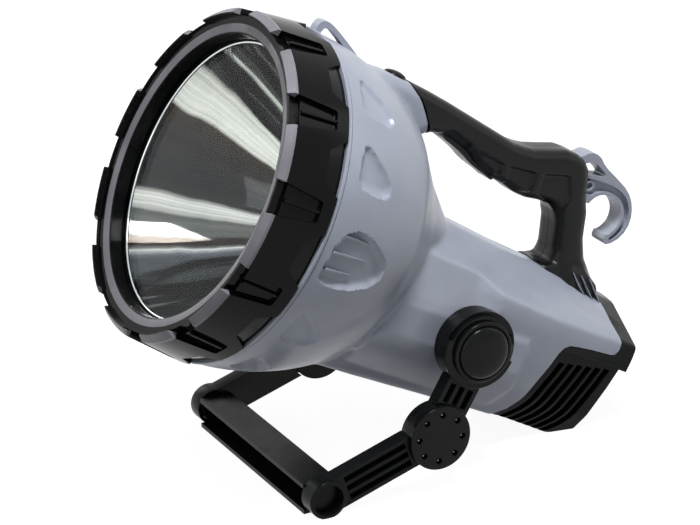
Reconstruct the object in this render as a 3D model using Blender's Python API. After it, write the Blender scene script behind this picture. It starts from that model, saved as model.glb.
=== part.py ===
"""Handheld rechargeable searchlight with a folding stand, at its real size in metres.

Everything is drawn in the beam's own frame: X runs forward along the beam from the back of the
bezel ring, Y to the left and Z up. An empty then pitches that frame up until the stand's foot bar
and the corner of the tail stand on the ground, with the origin under the middle of the foot bar.
"""

import math

import bmesh
import bpy
from mathutils import Matrix, Vector

# Clearances and walls
GAP = 0.0003
RUNNING_GAP = 0.0006
OVERRUN = 0.002
WALL = 0.003
BOWL_WALL = 0.0042
TOUCH = 0.0000005

# Facets round a full turn
ROUND_STEPS = 48
HUB_STEPS = 24
SMALL_STEPS = 12

# Bezel ring
PANEL_COUNT = 12
FIRST_SLOT_ANGLE = math.radians(9.5)
BEZEL_STEP = 0.002
BEZEL_TAPER = 0.005
BEZEL_RIM = 0.0055
BEZEL_DEPTH = 0.044
BEZEL_CHAMFER = 0.003
SLOT_START = 0.009
SLOT_LENGTH = 0.025
SLOT_DEPTH = 0.003
SLOT_REAR_ANGLE = math.radians(7)
SLOT_FRONT_ANGLE = math.radians(12)
GROOVE_WIDTH = 0.0035
GROOVE_DEPTH = 0.007
TOOTH_OVERHANG = 0.0015
SLOT_RIB_ANGLE = math.radians(0.9)
SLOT_RIB_HEIGHT = 0.0017
NOTCH_DEPTH = 0.0013
NOTCH_LENGTH = 0.0115
NOTCH_REAR_ANGLE = math.radians(19)
NOTCH_FRONT_ANGLE = math.radians(10)

# Lens, seal and reflector
MOUTH_FLARE = 0.0113
LIP_THICKNESS = 0.0013
LENS_THICKNESS = 0.003
LENS_OVERLAP = 0.0053
SEAL_THICKNESS = 0.0015
SEAL_WIDTH = 0.004
LENS_REVEAL = 0.0012
HOLDER_SPACE = 0.044
REFLECTOR_WALL = 0.002
REFLECTOR_STEPS = 9
REFLECTOR_COLLAR_LENGTH = 0.011

# Bulb and what holds it
HOLDER_RADIUS = 0.0086
HOLDER_LENGTH = 0.015
HOLDER_FLANGE = 0.004
BULB_BASE_RADIUS = 0.0065
BULB_BASE_LENGTH = 0.008
BULB_GLASS_RADIUS = 0.0052
BULB_GLASS_LENGTH = 0.022
CLIP_WIDTH = 0.009
CLIP_THICKNESS = 0.0012
CLIP_LEG = 0.009

# Head bowl of the casing
BOWL_RADIUS = 0.113
BOWL_LENGTH = 0.136
NECK_STEP = 0.009
NECK_LENGTH = 0.0203
bowl_station_shares = (0, 0.09, 0.19, 0.31, 0.43, 0.54, 0.65, 0.76, 0.85, 0.92, 0.97)

# Barrel of the casing, behind the bowl
BODY_LENGTH = 0.298
BARREL_CROWN = 0.028
BARREL_SHOULDER = 0.012
BARREL_KEEL = 0.080
BARREL_HALF_WIDTH = 0.062
# Each station: its place along the body, then its crown, shoulder, keel and width
barrel_station_shares = (
    (0.20, 1.79, 1.17, 1.05, 1.06),
    (0.336, 1.86, 1.00, 1.04, 1.06),
    (0.41, 1.71, 0.92, 1.025, 1.05),
    (0.463, 1.36, 0.96, 1.02, 1.03),
    (0.517, 1.12, 1.00, 1.01, 1.016),
    (0.628, 1.00, 0.08, 0.995, 1.00),
    (0.775, 0.95, -0.08, 0.98, 0.985),
    (1.0, 0.71, 0.00, 1.00, 0.976),
)

# Dimples and the louvred recess on the sides of the bowl
DIMPLE_SETBACK = 0.027
DIMPLE_LENGTH = 0.028
DIMPLE_WIDTH = 0.026
DIMPLE_DEPTH = 0.0028
dimple_degrees = (28, 54, -30, -57)
LOUVRE_SETBACK = 0.034
LOUVRE_LENGTH = 0.050
LOUVRE_WIDTH = 0.036
LOUVRE_DEPTH = 0.0032
LOUVRE_RIB = 0.0022
LOUVRE_RIB_LENGTH = 0.028
louvre_rib_degrees = (5, -0.5, -6)

# Handle: the grey root on the bowl, then the black grip and its pillar
GRIP_DROP = 0.013
GRIP_HALF_WIDTH = 0.017
GRIP_EDGE = 0.0085
# Side view of root, grip and pillar together, as shares of BODY_LENGTH and GRIP_HEIGHT
handle_outline_shares = (
    (-0.067, 0.880), (-0.087, 1.040), (-0.205, 1.066), (-0.273, 1.062), (-0.342, 1.046),
    (-0.400, 1.028), (-0.460, 1.000), (-0.550, 0.953), (-0.600, 0.959), (-0.645, 0.989),
    (-0.690, 1.024), (-0.738, 1.030), (-0.775, 1.000), (-0.806, 0.945), (-0.832, 0.850),
    (-0.862, 0.730), (-0.880, 0.640), (-0.889, 0.540), (-0.916, 0.410), (-0.960, 0.290),
    (-0.980, 0.220), (-0.980, 0.100), (-0.740, 0.100), (-0.744, 0.265), (-0.770, 0.330),
    (-0.770, 0.400), (-0.752, 0.520), (-0.728, 0.640), (-0.695, 0.628), (-0.660, 0.632),
    (-0.590, 0.668), (-0.530, 0.730), (-0.476, 0.785), (-0.430, 0.815), (-0.400, 0.800),
    (-0.359, 0.777), (-0.319, 0.730), (-0.200, 0.800),
)
# Where the grey root ends and the black grip starts, top and bottom
seam_shares = ((-0.262, 1.150), (-0.3695, 0.650))
# Layers of a rounded slab: out across its half width, and in from its outline by its edge
rounded_layer_shares = ((1.0, 1.0), (0.93, 0.55), (0.75, 0.18), (0.45, 0))

# Trigger, its pin, spring and switch
TRIGGER_HALF_WIDTH = 0.008
TRIGGER_PIN_RADIUS = 0.0015
TRIGGER_PIN_END = 0.0010
trigger_pivot_shares = (-0.411, 0.852)
trigger_outline_shares = (
    (-0.398, 0.805), (-0.430, 0.783), (-0.466, 0.752), (-0.495, 0.712), (-0.525, 0.690),
    (-0.548, 0.676), (-0.567, 0.655), (-0.571, 0.690), (-0.538, 0.742), (-0.470, 0.825),
    (-0.424, 0.882), (-0.400, 0.884),
)
trigger_slot_shares = ((-0.390, 0.650), (-0.390, 0.900), (-0.577, 0.800), (-0.577, 0.550))
SWITCH_LENGTH = 0.0165
SWITCH_HEIGHT = 0.008
SWITCH_HALF_WIDTH = 0.0032
switch_place_shares = (-0.482, 0.900)
SPRING_WIRE = 0.0004
TRIGGER_SPRING_RADIUS = 0.0026
TRIGGER_SPRING_TURNS = 5
trigger_spring_shares = (-0.536, 0.762, 0.908)

# Round button on the handle's root
BUTTON_PLACE = 0.071
BUTTON_RADIUS = 0.0100
BUTTON_FLANGE = 0.002
BUTTON_FLANGE_RADIUS = 0.0117
BUTTON_TOP = 0.1065
BUTTON_DOME = 0.0030
BUTTON_TRAVEL = 0.0025
BUTTON_COLLAR = 0.0035
BUTTON_SPRING_RADIUS = 0.008
BUTTON_SPRING_TURNS = 3
BUTTON_SPRING_LENGTH = 0.0065
# Rise and radius of the steps of a shallow dome, as shares of its height and its rim
button_dome_shares = ((0.6, 0.84), (0.92, 0.45), (1, 0))
knob_dome_shares = ((0.55, 0.75), (0.9, 0.40), (1, 0))

# Hanging hook behind the grip
HOOK_HALF_WIDTH = 0.0075
HOOK_WEB_HALF_WIDTH = 0.0035
HOOK_TONGUE_HALF_WIDTH = 0.003
HOOK_EYE_RADIUS = 0.0022
hook_outline_shares = (
    (-0.740, 1.000), (-0.762, 1.035), (-0.785, 1.080), (-0.819, 1.072), (-0.846, 1.030),
    (-0.893, 0.970), (-0.926, 0.930), (-0.956, 0.860), (-0.970, 0.740), (-0.963, 0.620),
    (-0.940, 0.540), (-0.923, 0.560), (-0.926, 0.610), (-0.940, 0.700), (-0.936, 0.800),
    (-0.913, 0.860), (-0.876, 0.875), (-0.855, 0.830), (-0.842, 0.750), (-0.780, 0.800),
)
hook_strap_shares = ((-0.787, 0.955), (-0.787, 1.005), (-0.808, 1.032), (-0.820, 1.015), (-0.838, 0.965))
hook_web_shares = (
    (-0.868, 0.970), (-0.893, 0.945), (-0.922, 0.908), (-0.947, 0.850), (-0.960, 0.740),
    (-0.953, 0.630), (-0.938, 0.590), (-0.938, 0.620), (-0.949, 0.700), (-0.946, 0.810),
    (-0.918, 0.883), (-0.876, 0.900), (-0.862, 0.905),
)
hook_eye_shares = (-0.832, 0.890)
hook_tongue_shares = ((-0.755, 0.850), (-0.755, 0.930), (-0.850, 0.930), (-0.850, 0.850))

# Strap loop at the front of the casing
LOOP_HALF_WIDTH = 0.004
LOOP_TONGUE_HALF_WIDTH = 0.002
loop_outline_shares = (
    (-0.002, 1.09), (-0.002, 1.175), (-0.010, 1.212), (-0.030, 1.220), (-0.087, 1.143),
    (-0.144, 1.060), (-0.150, 1.000), (-0.060, 1.040),
)
loop_hole_shares = ((-0.016, 1.080), (-0.018, 1.165), (-0.034, 1.182), (-0.080, 1.120), (-0.100, 1.060))
# The loop's tongue: its stem and its wider foot along the body, and how deep the stem goes
loop_stem_shares = (-0.075, -0.045)
loop_foot_shares = (-0.090, -0.030)
LOOP_DEPTH_SHARE = 0.955

# Black tail: the band round it and the ribbed cover below, as shares of BODY_LENGTH and BARREL_KEEL
TAIL_STEP_SIDE = 0.0015
TAIL_CORNER_RADIUS = 0.008
cover_front_shares = (
    (-0.7215, -1.25), (-0.7415, -0.95), (-0.765, -0.80), (-0.792, -0.50), (-0.805, -0.22), (-0.815, -0.15),
    (-0.832, -0.125),
)
cover_band_shares = (
    (-0.938, -0.143), (-0.951, -0.100), (-0.957, 0), (-0.960, 0.20), (-0.957, 0.60),
)
SPLIT_HEIGHT_SHARE = -0.22
tail_face_shares = ((-0.980, -0.22), (-0.9475, -0.880))
KEEL_LINE_START_SHARE = -0.988
VENT_SLOT_COUNT = 6
VENT_SLOT_WIDTH = 0.0052
VENT_SLOT_PITCH = 0.0092
VENT_SLOT_DEPTH = 0.0018
VENT_SLOT_SLANT = 0.30
vent_slot_shares = (-0.833, -0.30)
# How near the middle the slots' floor lies, and how far down they run
VENT_FLOOR_SHARE = 0.93
VENT_FALL_SHARE = 1.2

# Charging socket in the tail and its flap
SOCKET_RADIUS = 0.0060
SOCKET_LENGTH = 0.016
SOCKET_RISE = 0.001
FLAP_WIDTH = 0.018
FLAP_HEIGHT = 0.017
FLAP_THICKNESS = 0.0018
FLAP_PIN_RADIUS = 0.0014

# Battery and what lies on it
BATTERY_TAIL_SPACE = 0.030
BATTERY_FRONT_SPACE = 0.120
BATTERY_HALF_WIDTH = 0.0455
BATTERY_TOP = 0.001
BATTERY_HEIGHT = 0.063
BATTERY_RIB = 0.003
battery_rib_shares = (-0.47, -0.67)
TERMINAL_LENGTH = 0.006
TERMINAL_HEIGHT = 0.0065
TERMINAL_THICKNESS = 0.0008
TERMINAL_SPREAD = 0.034
TERMINAL_SETBACK = 0.010
CLAMP_WIDTH = 0.012
CLAMP_THICKNESS = 0.003
clamp_place_share = -0.66
BOARD_LENGTH = 0.060
BOARD_HALF_WIDTH = 0.022
BOARD_THICKNESS = 0.0016
LEAD_RADIUS = 0.0012
LEAD_SPREAD = 0.005

# Casing screws, driven from the right
SCREW_RADIUS = 0.0016
SCREW_HEAD_RADIUS = 0.003
SCREW_HEAD = 0.0025
SCREW_BOSS_RADIUS = 0.0045
SCREW_REACH = 0.012
SCREW_SEAT = 0.010
# Along the body and up, as shares of BODY_LENGTH and BOWL_RADIUS
shell_screw_shares = ((-0.10, 0.80), (-0.10, -0.86), (-0.467, 0.16), (-0.375, -0.655), (-0.815, 0.105))
# Along the body and up, as shares of BODY_LENGTH and GRIP_HEIGHT
grip_screw_shares = ((-0.640, 0.810), (-0.825, 0.450))

# Stand: pivot on the casing, elbow, and foot
PIVOT_SETBACK = 0.160
PIVOT_DROP = 0.032
UPPER_LINK = 0.062
UPPER_LINK_ANGLE = math.radians(-87)
LOWER_LINK = 0.085
LOWER_LINK_ANGLE = math.radians(-46)
BOSS_RADIUS = 0.0245
BOSS_FACE = 0.0714
BOSS_RIDGE = 0.0012
BOSS_ROOT_SHARE = 0.85
HUB_RADIUS = 0.024
ARM_INNER = 0.079
ARM_THICKNESS = 0.011
UPPER_ARM_HALF_WIDTH = 0.0125
LOWER_ARM_HALF_WIDTH = 0.0115
ELBOW_RADIUS = 0.0218
ELBOW_DISC = 0.0032
ELBOW_DIMPLES = 8
ELBOW_DIMPLE_RADIUS = 0.0016
ELBOW_DIMPLE_RING = 0.0155
ELBOW_PIN_RADIUS = 0.004
ELBOW_PIN_FLANGE = 0.007
ELBOW_PIN_HEAD = 0.0012
FOOT_RADIUS = 0.013
FOOT_PROUD = 0.0018
FOOT_BORE_RADIUS = 0.0105
FOOT_PLUG_LENGTH = 0.006
FOOT_FLAT = 0.0008
ARM_SLOT_DEPTH = 0.0035
ARM_SLOT_WIDTH = 0.0042
ARM_SLOT_PITCH = 0.0062
ARM_SLOT_COUNT = 3
BAR_WIDTH = 0.023
BAR_HEIGHT = 0.021
BAR_WALL = 0.003
BOLT_RADIUS = 0.004
BOLT_FLANGE_RADIUS = 0.0075
BOLT_FLANGE = 0.003
KNOB_RADIUS = 0.0208
KNOB_RING = 0.003
KNOB_CAP_RADIUS = 0.0177
KNOB_CAP_RIM = 0.0015
KNOB_DOME = 0.0030
KNOB_LUG = 0.0035
KNOB_LUG_HALF_WIDTH = 0.0035
# Where a knob's lug starts inside the rim, and how much wider it is there
KNOB_LUG_ROOT_SHARE = 0.8
KNOB_LUG_FLARE_SHARE = 1.8
knob_lug_degrees = (150, -20)

SIDES = (("left", 1), ("right", -1))

# Sizes and places that follow from the ones above
BEZEL_REAR_RADIUS = BOWL_RADIUS + BEZEL_STEP
BEZEL_FRONT_RADIUS = BEZEL_REAR_RADIUS - BEZEL_TAPER
BEZEL_MOUTH_RADIUS = BEZEL_FRONT_RADIUS - BEZEL_RIM
LIP_RADIUS = BEZEL_MOUTH_RADIUS - MOUTH_FLARE
NECK_RADIUS = BOWL_RADIUS - NECK_STEP
REFLECTOR_MOUTH_RADIUS = LIP_RADIUS - LENS_REVEAL
REFLECTOR_DEPTH = BOWL_LENGTH - HOLDER_SPACE
BATTERY_LENGTH = BODY_LENGTH - BATTERY_TAIL_SPACE - BATTERY_FRONT_SPACE
GRIP_HEIGHT = BOWL_RADIUS - GRIP_DROP
FLANGE_FRONT = NECK_LENGTH + GAP + REFLECTOR_WALL
LENS_BACK = FLANGE_FRONT + GAP + SEAL_THICKNESS + GAP
LIP_BACK = LENS_BACK + LENS_THICKNESS + GAP
LENS_RADIUS = LIP_RADIUS + LENS_OVERLAP
SKIRT_RADIUS = NECK_RADIUS + RUNNING_GAP
REFLECTOR_VERTEX = FLANGE_FRONT - REFLECTOR_DEPTH
REFLECTOR_FOCUS = REFLECTOR_MOUTH_RADIUS**2 / (4 * REFLECTOR_DEPTH)
COLLAR_RADIUS = HOLDER_RADIUS + GAP
COLLAR_BACK = REFLECTOR_VERTEX - REFLECTOR_COLLAR_LENGTH
ARM_FACE = ARM_INNER + ARM_THICKNESS
LAP = ARM_INNER + ARM_THICKNESS / 2
PIVOT = Vector((-PIVOT_SETBACK, 0, -PIVOT_DROP))
ELBOW = PIVOT + UPPER_LINK * Vector((math.cos(UPPER_LINK_ANGLE), 0, math.sin(UPPER_LINK_ANGLE)))
FOOT = ELBOW + LOWER_LINK * Vector((math.cos(LOWER_LINK_ANGLE), 0, math.sin(LOWER_LINK_ANGLE)))


def along_body(shares, height):
    """Points (forward, up) from shares of the body's length and of a height."""
    return [(forward * BODY_LENGTH, up * height) for forward, up in shares]


def signed_area(outline):
    """Positive when the outline runs anticlockwise."""
    pairs = zip(outline, list(outline[1:]) + [outline[0]])
    return sum(a[0] * b[1] - b[0] * a[1] for a, b in pairs) / 2


def inset(outline, distance):
    """The outline moved inwards by a distance, or outwards by a negative one."""
    turn = 1 if signed_area(outline) > 0 else -1
    count = len(outline)
    moved = []
    for index, point in enumerate(outline):
        here = Vector(point)
        into = (here - Vector(outline[index - 1])).normalized()
        out = (Vector(outline[(index + 1) % count]) - here).normalized()
        first = Vector((-into.y, into.x)) * turn
        second = Vector((-out.y, out.x)) * turn
        moved.append(tuple(here + (first + second) * distance / (1 + first.dot(second))))
    return moved


def rounded_corner(before, corner, after, radius, steps=4):
    """Arc points that round one corner, and the arc's centre."""
    corner = Vector(corner)
    back = (Vector(before) - corner).normalized()
    ahead = (Vector(after) - corner).normalized()
    half = back.angle(ahead) / 2
    centre = corner + (back + ahead).normalized() * radius / math.sin(half)
    start = corner + back * radius / math.tan(half) - centre
    sweep = math.pi - 2 * half
    if back.cross(ahead) > 0:
        sweep = -sweep
    arc = [centre + Matrix.Rotation(sweep * step / steps, 2) @ start for step in range(steps + 1)]
    return [tuple(point) for point in arc], centre


def tail_outline():
    """Side view of the ribbed cover's rear and bottom, and the centre of its rounded corner."""
    top, low = along_body(tail_face_shares, BARREL_KEEL)
    below, above = along_body(cover_front_shares[:2], BARREL_KEEL)
    height = KEEL_LINE_START_SHARE * BARREL_KEEL
    share = (height - above[1]) / (below[1] - above[1])
    keel = (above[0] + (below[0] - above[0]) * share, height)
    arc, centre = rounded_corner(keel, low, top, TAIL_CORNER_RADIUS)
    return [keel] + arc + [top], centre


def ground_pitch():
    """How far the beam points above the ground when the foot and the tail's corner stand on it."""
    corner = tail_outline()[1]
    reach = Vector((FOOT.x - corner.x, FOOT.z - corner.y))
    slope = math.atan2(reach.y, reach.x)
    return -(slope - math.asin((FOOT_RADIUS - TAIL_CORNER_RADIUS) / reach.length))


def bowl_radius(setback):
    """Outer radius of the bowl at a distance behind the bezel ring."""
    return BOWL_RADIUS * math.sqrt(max(0, 1 - (setback / BOWL_LENGTH) ** 2))


def barrel_section(crown, shoulder, keel, width):
    """Outline (across, up) of the barrel's section, crown first and then down the left side."""
    half = width * BARREL_HALF_WIDTH
    top = crown * BARREL_CROWN
    side = shoulder * BARREL_SHOULDER
    low = -keel * BARREL_KEEL
    left = [
        (0.25 * half, top - 0.05 * BARREL_CROWN),
        (0.45 * half, top - 0.15 * BARREL_CROWN),
        (0.76 * half, side + 0.58 * (top - side)),
        (0.985 * half, side),
        (half, side + 0.12 * low),
        (0.985 * half, 0.36 * low),
        (0.94 * half, 0.68 * low),
        (0.80 * half, 0.97 * low),
        (0.45 * half, low),
    ]
    return [(0, top)] + left + [(-across, up) for across, up in reversed(left)]


class Model:
    """The scene's empties, shared by the functions that add objects."""

    frame = None
    finishes = {}


def clear_scene():
    for obj in list(bpy.data.objects):
        bpy.data.objects.remove(obj, do_unlink=True)


def add_frame():
    """The empty that pitches the beam's frame up and sets the foot bar's sole on the origin."""
    pitch = ground_pitch()
    frame = bpy.data.objects.new("beam_frame", None)
    bpy.context.scene.collection.objects.link(frame)
    turn = Matrix.Rotation(-pitch, 3, "Y")
    frame.rotation_euler = (0, -pitch, 0)
    frame.location = Vector((0, 0, FOOT_RADIUS - FOOT_FLAT)) - turn @ FOOT
    Model.frame = frame


def finish(name):
    """The material of this name, from the palette."""
    colour, roughness, metallic = PALETTE[name]
    if name not in Model.finishes:
        material = bpy.data.materials.new(name)
        material.use_nodes = True
        shader = material.node_tree.nodes["Principled BSDF"]
        shader.inputs["Base Color"].default_value = (*colour, 1)
        shader.inputs["Roughness"].default_value = roughness
        shader.inputs["Metallic"].default_value = metallic
        material.diffuse_color = (*colour, 1)
        Model.finishes[name] = material
    return Model.finishes[name]


PALETTE = {
    "grey_abs": ((0.27, 0.31, 0.39), 0.38, 0),
    "black_abs": ((0.012, 0.013, 0.014), 0.35, 0),
    "gloss_black_abs": ((0.010, 0.011, 0.012), 0.16, 0),
    "soft_black_rubber": ((0.016, 0.017, 0.020), 0.5, 0),
    "clear_polycarbonate": ((0.9, 0.93, 0.95), 0.04, 0),
    "aluminised": ((0.86, 0.87, 0.88), 0.08, 1),
    "quartz": ((0.92, 0.93, 0.94), 0.03, 0),
    "steel": ((0.55, 0.56, 0.58), 0.3, 1),
    "brass": ((0.60, 0.43, 0.17), 0.3, 1),
    "silicone": ((0.03, 0.03, 0.03), 0.6, 0),
    "phenolic": ((0.08, 0.05, 0.03), 0.45, 0),
    "battery_case": ((0.05, 0.06, 0.07), 0.5, 0),
    "circuit_green": ((0.02, 0.13, 0.05), 0.4, 0),
    "red_pvc": ((0.45, 0.02, 0.02), 0.4, 0),
    "black_pvc": ((0.02, 0.02, 0.02), 0.4, 0),
}


def place(name, bm, material=None):
    """A new object in the beam's frame; one without a material is a tool that only shapes others."""
    bmesh.ops.recalc_face_normals(bm, faces=bm.faces)
    mesh = bpy.data.meshes.new(name)
    bm.to_mesh(mesh)
    bm.free()
    obj = bpy.data.objects.new(name, mesh)
    bpy.context.scene.collection.objects.link(obj)
    obj.parent = Model.frame
    if material:
        dress(obj, material)
    else:
        obj.hide_render = True
        obj.display_type = "WIRE"
    return obj


def dress(obj, material):
    obj.data.materials.append(finish(material))


def shade(obj, degrees=35):
    obj.data.shade_smooth()
    obj.data.set_sharp_from_angle(angle=math.radians(degrees))


def combine(obj, tool, operation):
    modifier = obj.modifiers.new(tool.name, "BOOLEAN")
    modifier.operation = operation
    modifier.object = tool


def carve(obj, *tools):
    for tool in tools:
        combine(obj, tool, "DIFFERENCE")


def fuse(obj, *tools):
    for tool in tools:
        combine(obj, tool, "UNION")


def keep(obj, *tools):
    for tool in tools:
        combine(obj, tool, "INTERSECT")


def use_manifold_solver(obj):
    """For thin walls with many cuts, where the exact solver leaves open edges."""
    for modifier in obj.modifiers:
        modifier.solver = "MANIFOLD"


def hinge_at(obj, point):
    """Moves the object's origin to a point of the beam's frame, with its shape left in place."""
    obj.data.transform(Matrix.Translation(-Vector(point)))
    obj.location = Vector(point)


def fill(bm, rings):
    """Closes rings of equal length into one body, with a face on each end."""
    loops = [[bm.verts.new(point) for point in ring] for ring in rings]
    count = len(loops[0])
    for first, second in zip(loops, loops[1:]):
        for index in range(count):
            other = (index + 1) % count
            bm.faces.new((first[index], first[other], second[other], second[index]))
    bm.faces.new(loops[0])
    bm.faces.new(reversed(loops[-1]))
    bm.normal_update()
    bmesh.ops.triangulate(bm, faces=bm.faces)


def turned(name, profile, steps, material=None, axis="X", centre=(0, 0, 0), closed=True):
    """A body turned from (along, radius) points about an axis through the centre."""
    bm = bmesh.new()
    points = [bm.verts.new((along, 0, radius)) for along, radius in profile]
    pairs = list(zip(points, points[1:])) + ([(points[-1], points[0])] if closed else [])
    edges = [bm.edges.new(pair) for pair in pairs]
    bmesh.ops.spin(
        bm, geom=points + edges, cent=(0, 0, 0), axis=(1, 0, 0), angle=2 * math.pi, steps=steps, use_merge=True
    )
    bmesh.ops.remove_doubles(bm, verts=bm.verts, dist=TOUCH)
    if axis == "Y":
        bm.transform(Matrix.Rotation(math.pi / 2, 4, "Z"))
    if axis == "Z":
        bm.transform(Matrix.Rotation(-math.pi / 2, 4, "Y"))
    bm.transform(Matrix.Translation(centre))
    return place(name, bm, material)


def disc(name, low, high, radius, centre, axis="Y", steps=HUB_STEPS, material=None):
    """A plain cylinder between two places along an axis."""
    profile = [(low, 0), (low, radius), (high, radius), (high, 0)]
    return turned(name, profile, steps, material, axis, centre, closed=False)


def block(name, low, high, material=None):
    """A box between two corners."""
    bm = bmesh.new()
    bmesh.ops.create_cube(bm, size=1)
    size = Vector(high) - Vector(low)
    bmesh.ops.scale(bm, vec=size, verts=bm.verts)
    bmesh.ops.translate(bm, vec=(Vector(low) + Vector(high)) / 2, verts=bm.verts)
    return place(name, bm, material)


def slab(name, outline, right, left, material=None):
    """An outline (forward, up) made solid from its right face to its left."""
    bm = bmesh.new()
    fill(bm, [[(forward, across, up) for forward, up in outline] for across in (right, left)])
    return place(name, bm, material)


def rounded_slab(name, outline, half_width, edge, material=None):
    """An outline made solid with its side edges rounded."""
    left = [(across * half_width, inward * edge) for across, inward in rounded_layer_shares]
    right = [(-across, inward) for across, inward in reversed(left)]
    rings = []
    for across, inward in left + right:
        rings.append([(forward, across, up) for forward, up in inset(outline, inward)])
    bm = bmesh.new()
    fill(bm, rings)
    return place(name, bm, material)


def handle(name, shrink):
    """Root, grip and pillar in one, drawn in by a wall."""
    outline = inset(along_body(handle_outline_shares, GRIP_HEIGHT), shrink)
    return rounded_slab(name, outline, GRIP_HALF_WIDTH - shrink, GRIP_EDGE - shrink)


def beside_seam(name, ahead, clearance):
    """Everything ahead of the handle's seam, or behind it, kept off it by a clearance."""
    top, low = along_body(seam_shares, GRIP_HEIGHT)
    far = BODY_LENGTH if ahead else -BODY_LENGTH * 2
    floor = low[1] if ahead else -GRIP_HEIGHT
    outline = [low, top, (far, top[1]), (far, floor)]
    outline = inset(outline if ahead else outline + [(low[0], floor)], clearance)
    return slab(name, outline, -BOWL_RADIUS, BOWL_RADIUS)


def barrel(name, shrink, end=0):
    """The barrel's solid, drawn in by a wall and stopped short of the tail by a length."""
    rings = []
    for station, crown, shoulder, keel, width in barrel_station_shares:
        forward = max(-station * BODY_LENGTH, -BODY_LENGTH + end)
        outline = inset(barrel_section(crown, shoulder, keel, width), shrink)
        rings.append([(forward, across, up) for across, up in outline])
    bm = bmesh.new()
    fill(bm, rings)
    return place(name, bm)


def bowl(name, shrink, front):
    """The bowl's solid, drawn in by a wall, with its neck carried forward."""
    neck = NECK_RADIUS - shrink
    profile = [(front, 0), (front, neck), (-shrink, neck)]
    for share in bowl_station_shares:
        setback = max(share * BOWL_LENGTH, shrink)
        profile.append((-setback, bowl_radius(setback) - shrink))
    profile.append((-BOWL_LENGTH + shrink, 0))
    return turned(name, profile, ROUND_STEPS, closed=False)


def bezel_radius(forward):
    """Outer radius of the bezel's panels."""
    share = forward / BEZEL_DEPTH
    return BEZEL_REAR_RADIUS + (BEZEL_FRONT_RADIUS - BEZEL_REAR_RADIUS) * share


def wedge(bm, outline, angle, half_angle):
    """A body round the beam's axis: its outline is (forward, radius), and its width an angle."""
    rings = []
    for side in (-1, 1):
        ring = []
        for forward, radius in outline:
            at = angle + side * half_angle(forward)
            ring.append((forward, radius * math.cos(at), radius * math.sin(at)))
        rings.append(ring)
    fill(bm, rings)


def slot_outline():
    """Side view of what a slot takes away: its floor, the dark groove and the bead in front."""
    end = SLOT_START + SLOT_LENGTH
    groove = end + GROOVE_WIDTH
    outside = BEZEL_REAR_RADIUS + OVERRUN
    front = BEZEL_DEPTH - TOOTH_OVERHANG
    bead = BEZEL_FRONT_RADIUS - SLOT_DEPTH
    return [
        (SLOT_START, outside),
        (SLOT_START, bezel_radius(SLOT_START) - SLOT_DEPTH),
        (end, bezel_radius(end) - SLOT_DEPTH),
        (end, bezel_radius(end) - GROOVE_DEPTH),
        (groove, bezel_radius(groove) - GROOVE_DEPTH),
        (groove, bead - BEZEL_CHAMFER / 2),
        (groove + BEZEL_CHAMFER / 2, bead),
        (front - BEZEL_CHAMFER / 2, bead),
        (front, bead - BEZEL_CHAMFER / 2),
        (front, BEZEL_MOUTH_RADIUS - SLOT_DEPTH),
        (BEZEL_DEPTH + OVERRUN, BEZEL_MOUTH_RADIUS - SLOT_DEPTH),
        (BEZEL_DEPTH + OVERRUN, outside),
    ]


def slot_half_angle(forward):
    share = (forward - SLOT_START) / (BEZEL_DEPTH - SLOT_START)
    return (SLOT_REAR_ANGLE + (SLOT_FRONT_ANGLE - SLOT_REAR_ANGLE) * share) / 2


def notch_half_angle(forward):
    share = forward / NOTCH_LENGTH
    return (NOTCH_REAR_ANGLE + (NOTCH_FRONT_ANGLE - NOTCH_REAR_ANGLE) * share) / 2


def add_bezel():
    """Black ring that screws over the casing's neck and holds the lens."""
    profile = [
        (GAP, SKIRT_RADIUS),
        (GAP, BEZEL_REAR_RADIUS),
        (BEZEL_DEPTH - BEZEL_CHAMFER, bezel_radius(BEZEL_DEPTH - BEZEL_CHAMFER)),
        (BEZEL_DEPTH, BEZEL_FRONT_RADIUS - BEZEL_CHAMFER),
        (BEZEL_DEPTH, BEZEL_MOUTH_RADIUS),
        (LIP_BACK + LIP_THICKNESS, LIP_RADIUS),
        (LIP_BACK, LIP_RADIUS),
        (LIP_BACK, LENS_RADIUS + RUNNING_GAP),
        (FLANGE_FRONT + GAP, LENS_RADIUS + RUNNING_GAP),
        (FLANGE_FRONT + GAP, SKIRT_RADIUS),
    ]
    ring = turned("bezel_ring", profile, ROUND_STEPS, "gloss_black_abs")
    pitch = 2 * math.pi / PANEL_COUNT
    slots, ribs, notches = bmesh.new(), bmesh.new(), bmesh.new()
    end = SLOT_START + SLOT_LENGTH
    rib = [
        (SLOT_START - OVERRUN, bezel_radius(SLOT_START) - SLOT_DEPTH - OVERRUN),
        (SLOT_START - OVERRUN, bezel_radius(SLOT_START) - SLOT_DEPTH + SLOT_RIB_HEIGHT),
        (end - OVERRUN / 2, bezel_radius(end) - SLOT_DEPTH + SLOT_RIB_HEIGHT),
        (end - OVERRUN / 2, bezel_radius(end) - SLOT_DEPTH - OVERRUN),
    ]
    notch = [
        (-OVERRUN, BEZEL_REAR_RADIUS - NOTCH_DEPTH),
        (NOTCH_LENGTH, bezel_radius(NOTCH_LENGTH) - NOTCH_DEPTH),
        (NOTCH_LENGTH, BEZEL_REAR_RADIUS + OVERRUN),
        (-OVERRUN, BEZEL_REAR_RADIUS + OVERRUN),
    ]
    for index in range(PANEL_COUNT):
        angle = FIRST_SLOT_ANGLE + index * pitch
        wedge(slots, slot_outline(), angle, slot_half_angle)
        wedge(ribs, rib, angle, lambda forward: SLOT_RIB_ANGLE / 2)
        wedge(notches, notch, angle + pitch / 2, notch_half_angle)
    carve(ring, place("bezel_slots", slots))
    fuse(ring, place("bezel_slot_ribs", ribs))
    carve(ring, place("bezel_notches", notches))
    shade(ring)


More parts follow.
